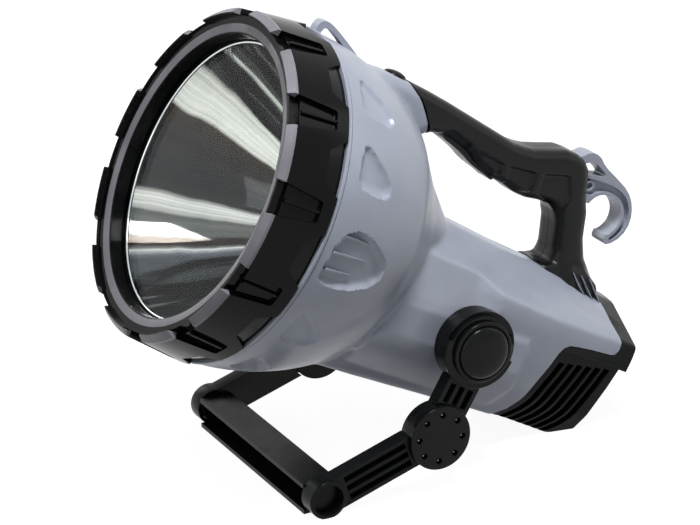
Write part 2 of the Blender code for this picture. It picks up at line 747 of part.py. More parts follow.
def add_lens():
    """Clear disc, and the rubber ring that seals it against the reflector's flange."""
    bevel = LENS_THICKNESS / 6
    profile = [
        (LENS_BACK, 0),
        (LENS_BACK, LENS_RADIUS - bevel),
        (LENS_BACK + bevel, LENS_RADIUS),
        (LENS_BACK + LENS_THICKNESS - bevel, LENS_RADIUS),
        (LENS_BACK + LENS_THICKNESS, LENS_RADIUS - bevel),
        (LENS_BACK + LENS_THICKNESS, 0),
    ]
    turned("lens", profile, ROUND_STEPS, "clear_polycarbonate", closed=False)
    low = FLANGE_FRONT + GAP
    high = low + SEAL_THICKNESS
    inner = LENS_RADIUS - SEAL_WIDTH
    seal = [(low, inner), (low, LENS_RADIUS), (high, LENS_RADIUS), (high, inner)]
    turned("lens_seal", seal, ROUND_STEPS, "silicone")


def add_reflector():
    """Parabolic bowl with a flange on the casing's neck and a collar for the bulb holder."""
    inner, outer = [], []
    for step in range(REFLECTOR_STEPS + 1):
        share = step / REFLECTOR_STEPS
        radius = REFLECTOR_MOUTH_RADIUS + (COLLAR_RADIUS - REFLECTOR_MOUTH_RADIUS) * share
        forward = REFLECTOR_VERTEX + radius**2 / (4 * REFLECTOR_FOCUS)
        normal = Vector((-1, radius / (2 * REFLECTOR_FOCUS))).normalized() * REFLECTOR_WALL
        inner.append((forward, radius))
        outer.append((forward + normal.x, radius + normal.y))
    flange_back = FLANGE_FRONT - REFLECTOR_WALL
    rim = [(flange_back, NECK_RADIUS - RUNNING_GAP), (FLANGE_FRONT, NECK_RADIUS - RUNNING_GAP)]
    outer = [point for point in outer if point[0] < flange_back - REFLECTOR_WALL / 2]
    neck = [(flange_back, REFLECTOR_MOUTH_RADIUS + REFLECTOR_WALL / 2)]
    collar = COLLAR_RADIUS + WALL
    outer = [point for point in outer if point[1] > collar + REFLECTOR_WALL / 2]
    slope = outer[-1][0]
    back = [(slope, collar), (COLLAR_BACK, collar), (COLLAR_BACK, COLLAR_RADIUS)]
    profile = inner[::-1] + rim[::-1] + neck + outer + back
    shade(turned("reflector", profile, ROUND_STEPS, "aluminised"))


def add_bulb():
    """Quartz bulb on the axis, its base, the holder behind the reflector and the spring clip."""
    back = COLLAR_BACK - GAP
    front = back + HOLDER_LENGTH
    flange = COLLAR_RADIUS + WALL
    holder = [(back - HOLDER_FLANGE, 0), (back - HOLDER_FLANGE, flange), (back, flange)]
    holder += [(back, HOLDER_RADIUS), (front, HOLDER_RADIUS), (front, 0)]
    turned("bulb_holder", holder, SMALL_STEPS, "phenolic", closed=False)
    low = front + GAP
    high = low + BULB_BASE_LENGTH
    disc("bulb_base", low, high, BULB_BASE_RADIUS, (0, 0, 0), "X", SMALL_STEPS, "steel")
    low = high + GAP
    high = low + BULB_GLASS_LENGTH
    tip = BULB_GLASS_RADIUS
    glass = [(low, 0), (low, tip), (high - tip, tip)]
    glass += [(high - tip + tip * math.sin(math.pi / 4), tip * math.cos(math.pi / 4)), (high, 0)]
    shade(turned("bulb_glass", glass, SMALL_STEPS, "quartz", closed=False))
    rear = back - HOLDER_FLANGE - GAP
    legs = flange + GAP
    outline = [
        (-legs - CLIP_THICKNESS, rear + CLIP_LEG), (-legs, rear + CLIP_LEG), (-legs, rear),
        (legs, rear), (legs, rear + CLIP_LEG), (legs + CLIP_THICKNESS, rear + CLIP_LEG),
        (legs + CLIP_THICKNESS, rear - CLIP_THICKNESS), (-legs - CLIP_THICKNESS, rear - CLIP_THICKNESS),
    ]
    bm = bmesh.new()
    fill(bm, [[(x, y, side * CLIP_WIDTH / 2) for y, x in outline] for side in (-1, 1)])
    place("bulb_clip", bm, "steel")


def screw_holes(name, places, seat_depth):
    """Tools for a row of screws driven from the right: the shank's hole and the head's well."""
    tools = []
    for index, (forward, up) in enumerate(places):
        centre = (forward, 0, up)
        shank = disc(
            f"{name}_hole_{index}", -seat_depth - OVERRUN, SCREW_REACH + GAP, SCREW_RADIUS + GAP, centre,
            steps=SMALL_STEPS,
        )
        well = disc(
            f"{name}_well_{index}", -BOWL_RADIUS, -seat_depth, SCREW_HEAD_RADIUS + GAP, centre,
            steps=SMALL_STEPS,
        )
        tools += [shank, well]
    return tools


def add_screw(name, forward, up, seat_depth):
    """One screw: its head in the right half and its shank across into the left."""
    seat = -seat_depth - GAP
    profile = [
        (seat - SCREW_HEAD, 0), (seat - SCREW_HEAD, SCREW_HEAD_RADIUS), (seat, SCREW_HEAD_RADIUS),
        (seat, SCREW_RADIUS), (SCREW_REACH, SCREW_RADIUS), (SCREW_REACH, 0),
    ]
    turned(name, profile, SMALL_STEPS, "steel", "Y", (forward, 0, up), closed=False)


def cover_outline(grow):
    """Side view of everything black at the tail, grown by a clearance."""
    front = along_body(cover_front_shares, BARREL_KEEL)
    band = along_body(cover_band_shares, BARREL_KEEL)
    back = -BODY_LENGTH - OVERRUN
    low = front[0][1]
    return inset(front + band + [(back, band[-1][1]), (back, low)], -grow)


def place_dimples():
    """Drops, sunk into the bowl beside the bezel ring."""
    bm = bmesh.new()
    for degrees in dimple_degrees:
        for side in (1, -1):
            angle = math.radians(90 - side * (90 - degrees))
            setback = DIMPLE_SETBACK
            made = bmesh.ops.create_icosphere(bm, subdivisions=2, radius=1)["verts"]
            size = Matrix.Diagonal((DIMPLE_LENGTH / 2, DIMPLE_WIDTH / 2, DIMPLE_DEPTH, 1))
            lean = math.atan2(bowl_radius(setback / 2) - bowl_radius(setback * 2), setback * 3 / 2)
            out = Matrix.Translation((-setback, 0, bowl_radius(setback)))
            swing = Matrix.Rotation(angle - math.pi / 2, 4, "X")
            move = swing @ out @ Matrix.Rotation(-lean, 4, "Y") @ size
            bmesh.ops.transform(bm, matrix=move, verts=made)
    return place("dimples", bm)


def louvre_recesses():
    """The oval recess on each side of the bowl."""
    tools = []
    for name, side in SIDES:
        depth = bowl_radius(LOUVRE_SETBACK)
        bm = bmesh.new()
        made = bmesh.ops.create_icosphere(bm, subdivisions=2, radius=1)["verts"]
        size = Matrix.Diagonal((LOUVRE_LENGTH / 2, LOUVRE_DEPTH, LOUVRE_WIDTH / 2, 1))
        move = Matrix.Translation((-LOUVRE_SETBACK, side * depth, 0))
        lean = math.atan2(bowl_radius(LOUVRE_SETBACK / 2) - bowl_radius(LOUVRE_SETBACK * 1.5), LOUVRE_SETBACK)
        bmesh.ops.transform(bm, matrix=move @ Matrix.Rotation(side * lean, 4, "Z") @ size, verts=made)
        tools.append(place(f"louvre_recess_{name}", bm))
    return tools


def louvre_ribs():
    """Three blades across each recess, their edges just under the bowl's surface."""
    steps = 4
    ends = [LOUVRE_SETBACK + LOUVRE_RIB_LENGTH * (step / steps - 0.5) for step in range(steps + 1)]
    edge = [(-setback, bowl_radius(setback) - GAP) for setback in ends]
    root = [(-setback, bowl_radius(setback) - BOWL_WALL) for setback in reversed(ends)]
    bm = bmesh.new()
    for degrees in louvre_rib_degrees:
        for angle in (math.radians(degrees), math.pi - math.radians(degrees)):
            wedge(bm, edge + root, angle, lambda forward: LOUVRE_RIB / 2 / BOWL_RADIUS)
    return place("louvre_ribs", bm)


def casing_places():
    """Where the casing's screws cross it, as (forward, up)."""
    return along_body(shell_screw_shares, BOWL_RADIUS)


def button_floor():
    """Height of the floor that the button's spring stands on."""
    return BUTTON_TOP - BUTTON_COLLAR - BUTTON_FLANGE - BUTTON_SPRING_LENGTH - 3 * GAP


def casing_cavity():
    """What the casing halves are hollowed by, less the screw bosses and the battery's ribs."""
    inner_bowl = bowl("inner_bowl", BOWL_WALL, NECK_LENGTH + OVERRUN)
    inner_barrel = barrel("inner_barrel", WALL, WALL)
    cavity = [inner_bowl, inner_barrel]
    reach = BOWL_RADIUS + OVERRUN
    for index, (forward, up) in enumerate(casing_places()):
        boss = disc(
            f"casing_boss_{index}", -reach, reach, SCREW_BOSS_RADIUS, (forward, 0, up), steps=SMALL_STEPS
        )
        for tool in cavity:
            carve(tool, boss)
    wide = BUTTON_FLANGE_RADIUS + WALL
    cup = disc("button_cup", button_floor() - WALL, BOWL_RADIUS, wide, (-BUTTON_PLACE, 0, 0), "Z")
    carve(inner_bowl, cup)
    low = -BARREL_KEEL - OVERRUN * 3
    top = BATTERY_TOP - BATTERY_HEIGHT - GAP
    for index, share in enumerate(battery_rib_shares):
        forward = share * BODY_LENGTH
        rib = block(
            f"battery_rib_{index}",
            (forward - BATTERY_RIB / 2, -BARREL_HALF_WIDTH * 2, low),
            (forward + BATTERY_RIB / 2, BARREL_HALF_WIDTH * 2, top),
        )
        for tool in cavity:
            carve(tool, rib)
    return cavity


def button_tools():
    """The stepped well in the handle's root that holds the button."""
    floor = button_floor()
    collar = BUTTON_TOP - BUTTON_COLLAR
    centre = (-BUTTON_PLACE, 0, 0)
    wide = disc("button_pocket", floor, collar, BUTTON_FLANGE_RADIUS + GAP, centre, "Z")
    narrow = disc("button_hole", collar - OVERRUN, BUTTON_TOP + OVERRUN * 2, BUTTON_RADIUS + GAP, centre, "Z")
    return [wide, narrow]


def dome(base, height, radius, shares):
    """Profile points of a shallow dome, from its rim to its top."""
    return [(base + rise * height, reach * radius) for rise, reach in shares]


def add_button():
    """Round push button, trapped by its flange, and the spring under it."""
    collar = BUTTON_TOP - BUTTON_COLLAR - GAP
    base = collar - BUTTON_FLANGE
    profile = [
        (base, 0), (base, BUTTON_FLANGE_RADIUS), (collar, BUTTON_FLANGE_RADIUS), (collar, BUTTON_RADIUS),
        (BUTTON_TOP, BUTTON_RADIUS),
    ]
    profile += dome(BUTTON_TOP, BUTTON_DOME, BUTTON_RADIUS, button_dome_shares)
    button = turned("lock_button", profile, HUB_STEPS, "black_abs", "Z", (-BUTTON_PLACE, 0, 0), closed=False)
    shade(button)
    hinge_at(button, (-BUTTON_PLACE, 0, BUTTON_TOP))
    low = base - GAP - BUTTON_SPRING_LENGTH
    add_spring("lock_button_spring", (-BUTTON_PLACE, 0, low), BUTTON_SPRING_LENGTH, BUTTON_SPRING_RADIUS,
               BUTTON_SPRING_TURNS)


def add_spring(name, base, length, radius, turns):
    """A coil spring standing on its base point, drawn along a helix."""
    points_per_turn = 10
    curve = bpy.data.curves.new(name, "CURVE")
    curve.dimensions = "3D"
    curve.bevel_depth = SPRING_WIRE
    curve.bevel_resolution = 1
    curve.use_fill_caps = True
    count = turns * points_per_turn + 1
    spline = curve.splines.new("POLY")
    spline.points.add(count - 1)
    for index, point in enumerate(spline.points):
        share = index / (count - 1)
        angle = 2 * math.pi * turns * share
        rise = SPRING_WIRE + (length - 2 * SPRING_WIRE) * share
        point.co = (radius * math.cos(angle), radius * math.sin(angle), rise, 1)
    place_curve(name, curve, base, "steel")


def place_curve(name, curve, location, material):
    curve.materials.append(finish(material))
    obj = bpy.data.objects.new(name, curve)
    bpy.context.scene.collection.objects.link(obj)
    obj.parent = Model.frame
    obj.location = location
    return obj


def hub_hole(name, side):
    """Clearance for the pivot bolt through the casing, the boss and the arm."""
    return disc(name, side * BARREL_HALF_WIDTH / 2, side * (ARM_FACE + OVERRUN), BOLT_RADIUS + GAP, PIVOT)


def loop_tongue(name, grow, half_width):
    """The loop's stem through the casing and the foot that traps it."""
    stem = [share * BODY_LENGTH for share in loop_stem_shares]
    foot = [share * BODY_LENGTH for share in loop_foot_shares]
    step = LOOP_DEPTH_SHARE * BOWL_RADIUS - WALL / 2
    outline = [
        (foot[0], step - WALL), (foot[1], step - WALL), (foot[1], step), (stem[1], step),
        (stem[1], BOWL_RADIUS), (stem[0], BOWL_RADIUS), (stem[0], step), (foot[0], step),
    ]
    return slab(name, inset(outline, -grow), -half_width, half_width)


def add_casing():
    """Left and right casing halves: bowl, barrel and the handle's root, hollowed and split."""
    solid = bowl("casing_solid", 0, NECK_LENGTH)
    root = handle("handle_root", 0)
    keep(root, beside_seam("ahead_of_seam", True, GAP / 2))
    fuse(solid, barrel("barrel_solid", 0), root)
    carve(solid, place_dimples(), *louvre_recesses())
    fuse(solid, louvre_ribs())
    carve(solid, *casing_cavity())
    carve(solid, slab("cover_space", cover_outline(GAP), -BOWL_RADIUS, BOWL_RADIUS))
    carve(solid, *button_tools())
    carve(solid, loop_tongue("loop_slot", GAP, LOOP_TONGUE_HALF_WIDTH + GAP))
    carve(solid, *screw_holes("casing", casing_places(), SCREW_SEAT))
    for name, side in SIDES:
        carve(solid, hub_hole(f"casing_bolt_hole_{name}", side))
    use_manifold_solver(solid)
    for index, (forward, up) in enumerate(casing_places()):
        add_screw(f"shell_screw_{index + 1}", forward, up, SCREW_SEAT)
    reach = BOWL_RADIUS * 2
    for name, side in SIDES:
        right, left = sorted((side * GAP / 2, side * reach))
        half = block(
            f"body_shell_{name}", (-BODY_LENGTH * 2, right, -reach), (BODY_LENGTH, left, reach), "grey_abs"
        )
        keep(half, solid)
        use_manifold_solver(half)


def add_strap_loop():
    """Grey loop on top behind the bezel ring, trapped between the casing halves by its foot."""
    outline = along_body(loop_outline_shares, GRIP_HEIGHT)
    loop = slab("front_strap_loop", outline, -LOOP_HALF_WIDTH, LOOP_HALF_WIDTH, "grey_abs")
    carve(loop, slab("strap_loop_hole", along_body(loop_hole_shares, GRIP_HEIGHT), -BOWL_RADIUS, BOWL_RADIUS))
    carve(loop, bowl("bowl_clearance", -GAP, NECK_LENGTH), handle("handle_clearance", -GAP))
    fuse(loop, loop_tongue("loop_tongue", 0, LOOP_TONGUE_HALF_WIDTH))


def grip_cavity():
    """Hollow of the grip, stopped at the seam, less its bosses."""
    cavity = handle("grip_hollow", WALL)
    keep(cavity, beside_seam("behind_seam_wall", False, WALL))
    reach = GRIP_HALF_WIDTH + OVERRUN
    for index, (forward, up) in enumerate(along_body(grip_screw_shares, GRIP_HEIGHT)):
        boss = disc(f"grip_boss_{index}", -reach, reach, SCREW_BOSS_RADIUS, (forward, 0, up), steps=SMALL_STEPS)
        carve(cavity, boss)
    return cavity


def hook_tongue(name, grow):
    """What the grip halves clamp the hook by."""
    outline = inset(along_body(hook_tongue_shares, GRIP_HEIGHT), -grow)
    return slab(name, outline, -HOOK_TONGUE_HALF_WIDTH - grow, HOOK_TONGUE_HALF_WIDTH + grow)


def trigger_pivot():
    forward, up = along_body([trigger_pivot_shares], GRIP_HEIGHT)[0]
    return (forward, 0, up)


def add_grips():
    """Left and right halves of the black grip and pillar, and their screws."""
    solid = handle("grip_solid", 0)
    keep(solid, beside_seam("behind_seam", False, GAP / 2))
    carve(solid, barrel("barrel_clearance", -GAP), bowl("bowl_clearance_grip", -GAP, NECK_LENGTH))
    carve(solid, grip_cavity())
    slot = along_body(trigger_slot_shares, GRIP_HEIGHT)
    side = TRIGGER_HALF_WIDTH + RUNNING_GAP
    carve(solid, slab("trigger_slot", slot, -side, side))
    pin_end = GRIP_HALF_WIDTH - TRIGGER_PIN_END
    carve(solid, disc("trigger_pin_hole", -pin_end, pin_end, TRIGGER_PIN_RADIUS + GAP, trigger_pivot(),
                      steps=SMALL_STEPS))
    carve(solid, hook_tongue("hook_slot", GAP))
    seat = SCREW_SEAT / 2
    places = along_body(grip_screw_shares, GRIP_HEIGHT)
    carve(solid, *screw_holes("grip", places, seat))
    use_manifold_solver(solid)
    for index, (forward, up) in enumerate(places):
        add_screw(f"grip_screw_{index + 1}", forward, up, seat)
    for name, side in SIDES:
        right, left = sorted((side * GAP / 2, side * BOWL_RADIUS))
        half = block(
            f"grip_{name}", (-BODY_LENGTH * 2, right, -BOWL_RADIUS), (BODY_LENGTH, left, BOWL_RADIUS * 2),
            "soft_black_rubber",
        )
        keep(half, solid)
        use_manifold_solver(half)


def add_trigger():
    """Finger lever under the grip, its pin, return spring and the switch above it."""
    outline = along_body(trigger_outline_shares, GRIP_HEIGHT)
    lever = slab("trigger", outline, -TRIGGER_HALF_WIDTH, TRIGGER_HALF_WIDTH, "gloss_black_abs")
    pivot = trigger_pivot()
    reach = TRIGGER_HALF_WIDTH + OVERRUN
    carve(lever, disc("trigger_bore", -reach, reach, TRIGGER_PIN_RADIUS + GAP, pivot, steps=SMALL_STEPS))
    hinge_at(lever, pivot)
    pin_end = GRIP_HALF_WIDTH - TRIGGER_PIN_END - GAP
    disc("trigger_pin", -pin_end, pin_end, TRIGGER_PIN_RADIUS, pivot, steps=SMALL_STEPS, material="steel")
    forward, up = along_body([switch_place_shares], GRIP_HEIGHT)[0]
    block(
        "micro_switch",
        (forward - SWITCH_LENGTH / 2, -SWITCH_HALF_WIDTH, up - SWITCH_HEIGHT / 2),
        (forward + SWITCH_LENGTH / 2, SWITCH_HALF_WIDTH, up + SWITCH_HEIGHT / 2),
        "phenolic",
    )
    place_share, low_share, high_share = trigger_spring_shares
    base = (place_share * BODY_LENGTH, 0, low_share * GRIP_HEIGHT)
    length = (high_share - low_share) * GRIP_HEIGHT
    add_spring("trigger_spring", base, length, TRIGGER_SPRING_RADIUS, TRIGGER_SPRING_TURNS)


def add_hook():
    """Grey hanging hook with a strap opening, an eye and a sunk web, clamped by the grip."""
    outline = along_body(hook_outline_shares, GRIP_HEIGHT)
    hook = slab("hook", outline, -HOOK_HALF_WIDTH, HOOK_HALF_WIDTH, "grey_abs")
    strap = along_body(hook_strap_shares, GRIP_HEIGHT)
    carve(hook, slab("hook_strap_opening", strap, -BOWL_RADIUS, BOWL_RADIUS))
    web = along_body(hook_web_shares, GRIP_HEIGHT)
    for name, side in SIDES:
        right, left = sorted((side * HOOK_WEB_HALF_WIDTH, side * (HOOK_HALF_WIDTH + OVERRUN)))
        carve(hook, slab(f"hook_web_{name}", web, right, left))
    forward, up = along_body([hook_eye_shares], GRIP_HEIGHT)[0]
    reach = HOOK_HALF_WIDTH + OVERRUN
    carve(hook, handle("grip_clearance", -GAP))
    carve(hook, disc("hook_eye", -reach, reach, HOOK_EYE_RADIUS, (forward, 0, up), steps=SMALL_STEPS))
    fuse(hook, hook_tongue("hook_tongue", 0))
    use_manifold_solver(hook)


def split_level(name, above, clearance):
    """Everything above the step between the tail's band and its ribbed cover, or below it."""
    height = SPLIT_HEIGHT_SHARE * BARREL_KEEL
    low, high = (height + clearance, BOWL_RADIUS) if above else (-BOWL_RADIUS * 2, height - clearance)
    return block(name, (-BODY_LENGTH * 2, -BOWL_RADIUS, low), (BODY_LENGTH, BOWL_RADIUS, high))


def add_tail():
    """Black band round the tail, and the ribbed cover under it."""
    band = slab("rear_band", cover_outline(0), -BOWL_RADIUS, BOWL_RADIUS, "black_abs")
    keep(band, barrel("band_barrel", 0), split_level("above_step", True, GAP / 2))
    carve(band, barrel("band_hollow", WALL, WALL), handle("pillar_clearance", -GAP))
    carve(band, *socket_tools())
    outline = tail_outline()[0]
    front = along_body(cover_front_shares, BARREL_KEEL)
    side = [point for point in front if point[1] < outline[-1][1]] + [(front[-3][0], outline[-1][1])]
    side = side[1:] if side[0][1] < outline[0][1] else side
    cover = slab("rear_vent_cover", outline + side[::-1], -BOWL_RADIUS, BOWL_RADIUS, "black_abs")
    keep(cover, barrel("cover_barrel", TAIL_STEP_SIDE), split_level("below_step", False, GAP / 2))
    inside = inset(outline + [(outline[-1][0], 0), (0, 0), (0, outline[0][1])], WALL)
    hollow = slab("cover_hollow", inside, -BOWL_RADIUS, BOWL_RADIUS)
    keep(hollow, barrel("cover_hollow_barrel", TAIL_STEP_SIDE + WALL))
    carve(cover, hollow, vent_slots(), ground_tool())


def vent_slots():
    """Slanted slots down each side of the cover and across its bottom."""
    bm = bmesh.new()
    start = along_body([vent_slot_shares], BARREL_KEEL)[0]
    for index in range(VENT_SLOT_COUNT):
        forward = start[0] - index * VENT_SLOT_PITCH
        fall = start[1] + BARREL_KEEL * VENT_FALL_SHARE
        lean = VENT_SLOT_SLANT * fall
        front = forward + VENT_SLOT_WIDTH
        low = start[1] - fall
        outline = [(forward, start[1]), (front, start[1]), (front + lean, low), (forward + lean, low)]
        for side in (1, -1):
            inner = side * (BARREL_HALF_WIDTH * VENT_FLOOR_SHARE - VENT_SLOT_DEPTH)
            outer = side * (BARREL_HALF_WIDTH + OVERRUN)
            fill(bm, [[(ahead, across, up) for ahead, up in outline] for across in (inner, outer)])
    return place("vent_slots", bm)


def ground_tool():
    """The ground under the part, level in the world."""
    tool = block("ground", (-BODY_LENGTH * 3, -BOWL_RADIUS, -BOWL_RADIUS), (BODY_LENGTH * 2, BOWL_RADIUS, 0))
    tool.parent = None
    return tool


def socket_tools():
    """Hole through the tail for the charging socket."""
    centre = (0, 0, SOCKET_RISE)
    hole = disc("socket_hole", -BODY_LENGTH - OVERRUN, -BODY_LENGTH + WALL + OVERRUN, SOCKET_RADIUS + GAP,
                centre, "X")
    return [hole]


def add_charging():
    """Charging socket through the tail, and its flap on a pin above it."""
    centre = (0, 0, SOCKET_RISE)
    back = -BODY_LENGTH + GAP
    inside = -BODY_LENGTH + WALL + GAP
    profile = [
        (back, 0), (back, SOCKET_RADIUS), (inside, SOCKET_RADIUS), (inside, SOCKET_RADIUS + WALL / 2),
        (back + SOCKET_LENGTH, SOCKET_RADIUS + WALL / 2), (back + SOCKET_LENGTH, 0),
    ]
    turned("charge_socket", profile, HUB_STEPS, "black_abs", "X", centre, closed=False)
    face = -BODY_LENGTH - GAP
    top = SOCKET_RISE + FLAP_HEIGHT / 2
    flap = block(
        "charge_cover", (face - FLAP_THICKNESS, -FLAP_WIDTH / 2, top - FLAP_HEIGHT),
        (face, FLAP_WIDTH / 2, top), "silicone",
    )
    pin = (face - FLAP_PIN_RADIUS, 0, top)
    fuse(flap, disc("charge_cover_roll", -FLAP_WIDTH / 2, FLAP_WIDTH / 2, FLAP_PIN_RADIUS, pin, steps=SMALL_STEPS))
    hinge_at(flap, pin)


def add_battery():
    """Battery on the casing's ribs, its tabs, the clamp across it and the charging board."""
    rear = -BODY_LENGTH + BATTERY_TAIL_SPACE
    front = rear + BATTERY_LENGTH
    bottom = BATTERY_TOP - BATTERY_HEIGHT
    block(
        "battery", (rear, -BATTERY_HALF_WIDTH, bottom), (front, BATTERY_HALF_WIDTH, BATTERY_TOP), "battery_case"
    )
    for name, side in (("terminal_positive", 1), ("terminal_negative", -1)):
        across = side * TERMINAL_SPREAD
        low = BATTERY_TOP + GAP
        block(
            name, (front - TERMINAL_SETBACK - TERMINAL_LENGTH, across - TERMINAL_THICKNESS / 2, low),
            (front - TERMINAL_SETBACK, across + TERMINAL_THICKNESS / 2, low + TERMINAL_HEIGHT), "brass",
        )
    middle = clamp_place_share * BODY_LENGTH
    low = BATTERY_TOP + GAP
    clamp = block(
        "battery_clamp", (middle - CLAMP_WIDTH / 2, -BARREL_HALF_WIDTH, low),
        (middle + CLAMP_WIDTH / 2, BARREL_HALF_WIDTH, low + CLAMP_THICKNESS), "black_abs",
    )
    keep(clamp, barrel("clamp_space", WALL + GAP))
    low += CLAMP_THICKNESS + GAP
    block(
        "circuit_board", (middle - BOARD_LENGTH / 2, -BOARD_HALF_WIDTH, low),
        (middle + BOARD_LENGTH / 2, BOARD_HALF_WIDTH, low + BOARD_THICKNESS), "circuit_green",
    )


def add_leads():
    """Two leads from the battery's tabs to the bulb holder."""
    front = -BODY_LENGTH + BATTERY_TAIL_SPACE + BATTERY_LENGTH
    start_up = BATTERY_TOP + GAP + TERMINAL_HEIGHT + GAP + LEAD_RADIUS
    end = COLLAR_BACK - HOLDER_FLANGE - CLIP_THICKNESS - OVERRUN
    tab = front - TERMINAL_SETBACK - TERMINAL_LENGTH / 2
    for name, side, colour in (("lead_positive", 1, "red_pvc"), ("lead_negative", -1, "black_pvc")):
        first = Vector((tab, side * TERMINAL_SPREAD, start_up))
        last = Vector((end, side * (CLIP_WIDTH / 2 + LEAD_SPREAD), 0))
        rise = Vector((0, 0, TERMINAL_HEIGHT * 2))
        ahead = Vector((TERMINAL_SETBACK, 0, 0))
        route = smooth_route((first, first + rise + ahead / 2, last - ahead * 1.5 + rise / 2, last))
        curve = bpy.data.curves.new(name, "CURVE")
        curve.dimensions = "3D"
        curve.bevel_depth = LEAD_RADIUS
        curve.bevel_resolution = 1
        curve.use_fill_caps = True
        spline = curve.splines.new("POLY")
        spline.points.add(len(route) - 1)
        for point, where in zip(spline.points, route):
            point.co = (*where, 1)
        place_curve(name, curve, (0, 0, 0), colour)


def smooth_route(corners, steps=12):
    """Points of the Bezier curve that these four corners guide."""
    a, b, c, d = corners
    route = []
    for step in range(steps + 1):
        t = step / steps
        route.append((1 - t) ** 3 * a + 3 * (1 - t) ** 2 * t * b + 3 * (1 - t) * t**2 * c + t**3 * d)
    return route


def mirrored(points, side):
    return [(along * side, radius) for along, radius in points]


def add_pivot(name, side):
    """Boss on the casing, the bolt through it and the clamping knob outside."""
    inner = BARREL_HALF_WIDTH * BOSS_ROOT_SHARE
    steps = [(inner, 0), (inner, BOSS_RADIUS)]
    ridge = BARREL_HALF_WIDTH + BOSS_RIDGE
    while ridge + 2 * BOSS_RIDGE < BOSS_FACE:
        steps += [
            (ridge, BOSS_RADIUS), (ridge + BOSS_RIDGE / 2, BOSS_RADIUS - BOSS_RIDGE),
            (ridge + BOSS_RIDGE, BOSS_RADIUS - BOSS_RIDGE), (ridge + 1.5 * BOSS_RIDGE, BOSS_RADIUS),
        ]
        ridge += 2.5 * BOSS_RIDGE
    steps += [(BOSS_FACE, BOSS_RADIUS), (BOSS_FACE, 0)]
    boss = turned(f"pivot_boss_{name}", mirrored(steps, side), HUB_STEPS, "black_abs", "Y", PIVOT, closed=False)
    carve(boss, barrel(f"boss_seat_{name}", -GAP))
    carve(boss, hub_hole(f"boss_hole_{name}", side))
    bolt_inner = BARREL_HALF_WIDTH - 2 * WALL - BOLT_FLANGE
    knob_face = ARM_FACE + GAP
    bolt_end = knob_face + KNOB_RING
    bolt = [
        (bolt_inner, 0), (bolt_inner, BOLT_FLANGE_RADIUS), (bolt_inner + BOLT_FLANGE, BOLT_FLANGE_RADIUS),
        (bolt_inner + BOLT_FLANGE, BOLT_RADIUS), (bolt_end, BOLT_RADIUS), (bolt_end, 0),
    ]
    turned(f"pivot_bolt_{name}", mirrored(bolt, side), SMALL_STEPS, "steel", "Y", PIVOT, closed=False)
    cap = knob_face + KNOB_RING
    rim = cap + KNOB_CAP_RIM
    knob = [
        (knob_face, 0), (knob_face, KNOB_RADIUS), (cap, KNOB_RADIUS), (cap, KNOB_CAP_RADIUS),
        (rim, KNOB_CAP_RADIUS),
    ]
    knob += dome(rim, KNOB_DOME, KNOB_CAP_RADIUS, knob_dome_shares)
    knob = turned(f"pivot_knob_{name}", mirrored(knob, side), HUB_STEPS, "black_abs", "Y", PIVOT, closed=False)
    for degrees in knob_lug_degrees:
        fuse(knob, knob_lug(f"knob_lug_{name}_{degrees}", side, math.radians(degrees), knob_face, cap))
    well = disc(f"knob_well_{name}", side * (knob_face - OVERRUN), side * (bolt_end + GAP), BOLT_RADIUS + GAP,
                PIVOT, steps=SMALL_STEPS)
    carve(knob, well)
    shade(knob)
    hinge_at(knob, PIVOT)


def knob_lug(name, side, angle, low, high):
    """A finger lug on the rim of a knob."""
    out = Vector((math.cos(angle), math.sin(angle)))
    wide = Vector((-out.y, out.x)) * KNOB_LUG_HALF_WIDTH
    near = out * KNOB_RADIUS * KNOB_LUG_ROOT_SHARE
    root = wide * KNOB_LUG_FLARE_SHARE
    far = out * (KNOB_RADIUS + KNOB_LUG)
    corners = [near - root, far - wide, far + wide, near + root]
    outline = [(PIVOT.x + corner.x, PIVOT.z + corner.y) for corner in corners]
    right, left = sorted((side * low, side * high))
    return slab(name, outline, right, left)


def link_outline(start, end, half_width, start_trim=0, end_trim=0):
    """Side view of a straight link between two centres."""
    along = (end - start).normalized()
    across = Vector((-along.z, 0, along.x)) * half_width
    first = start + along * start_trim
    last = end - along * end_trim
    corners = [first - across, last - across, last + across, first + across]
    return [(corner.x, corner.z) for corner in corners]


def arm_slots(name, start, end, start_trim, end_trim, side):
    """Longitudinal slots sunk into the outer face of a link."""
    bm = bmesh.new()
    along = (end - start).normalized()
    across = Vector((-along.z, 0, along.x))
    faces = (side * (ARM_FACE - ARM_SLOT_DEPTH), side * (ARM_FACE + OVERRUN))
    for index in range(ARM_SLOT_COUNT):
        shift = across * (index - (ARM_SLOT_COUNT - 1) / 2) * ARM_SLOT_PITCH
        outline = link_outline(start + shift, end + shift, ARM_SLOT_WIDTH / 2, start_trim, end_trim)
        fill(bm, [[(forward, face, up) for forward, up in outline] for face in faces])
    return place(name, bm)


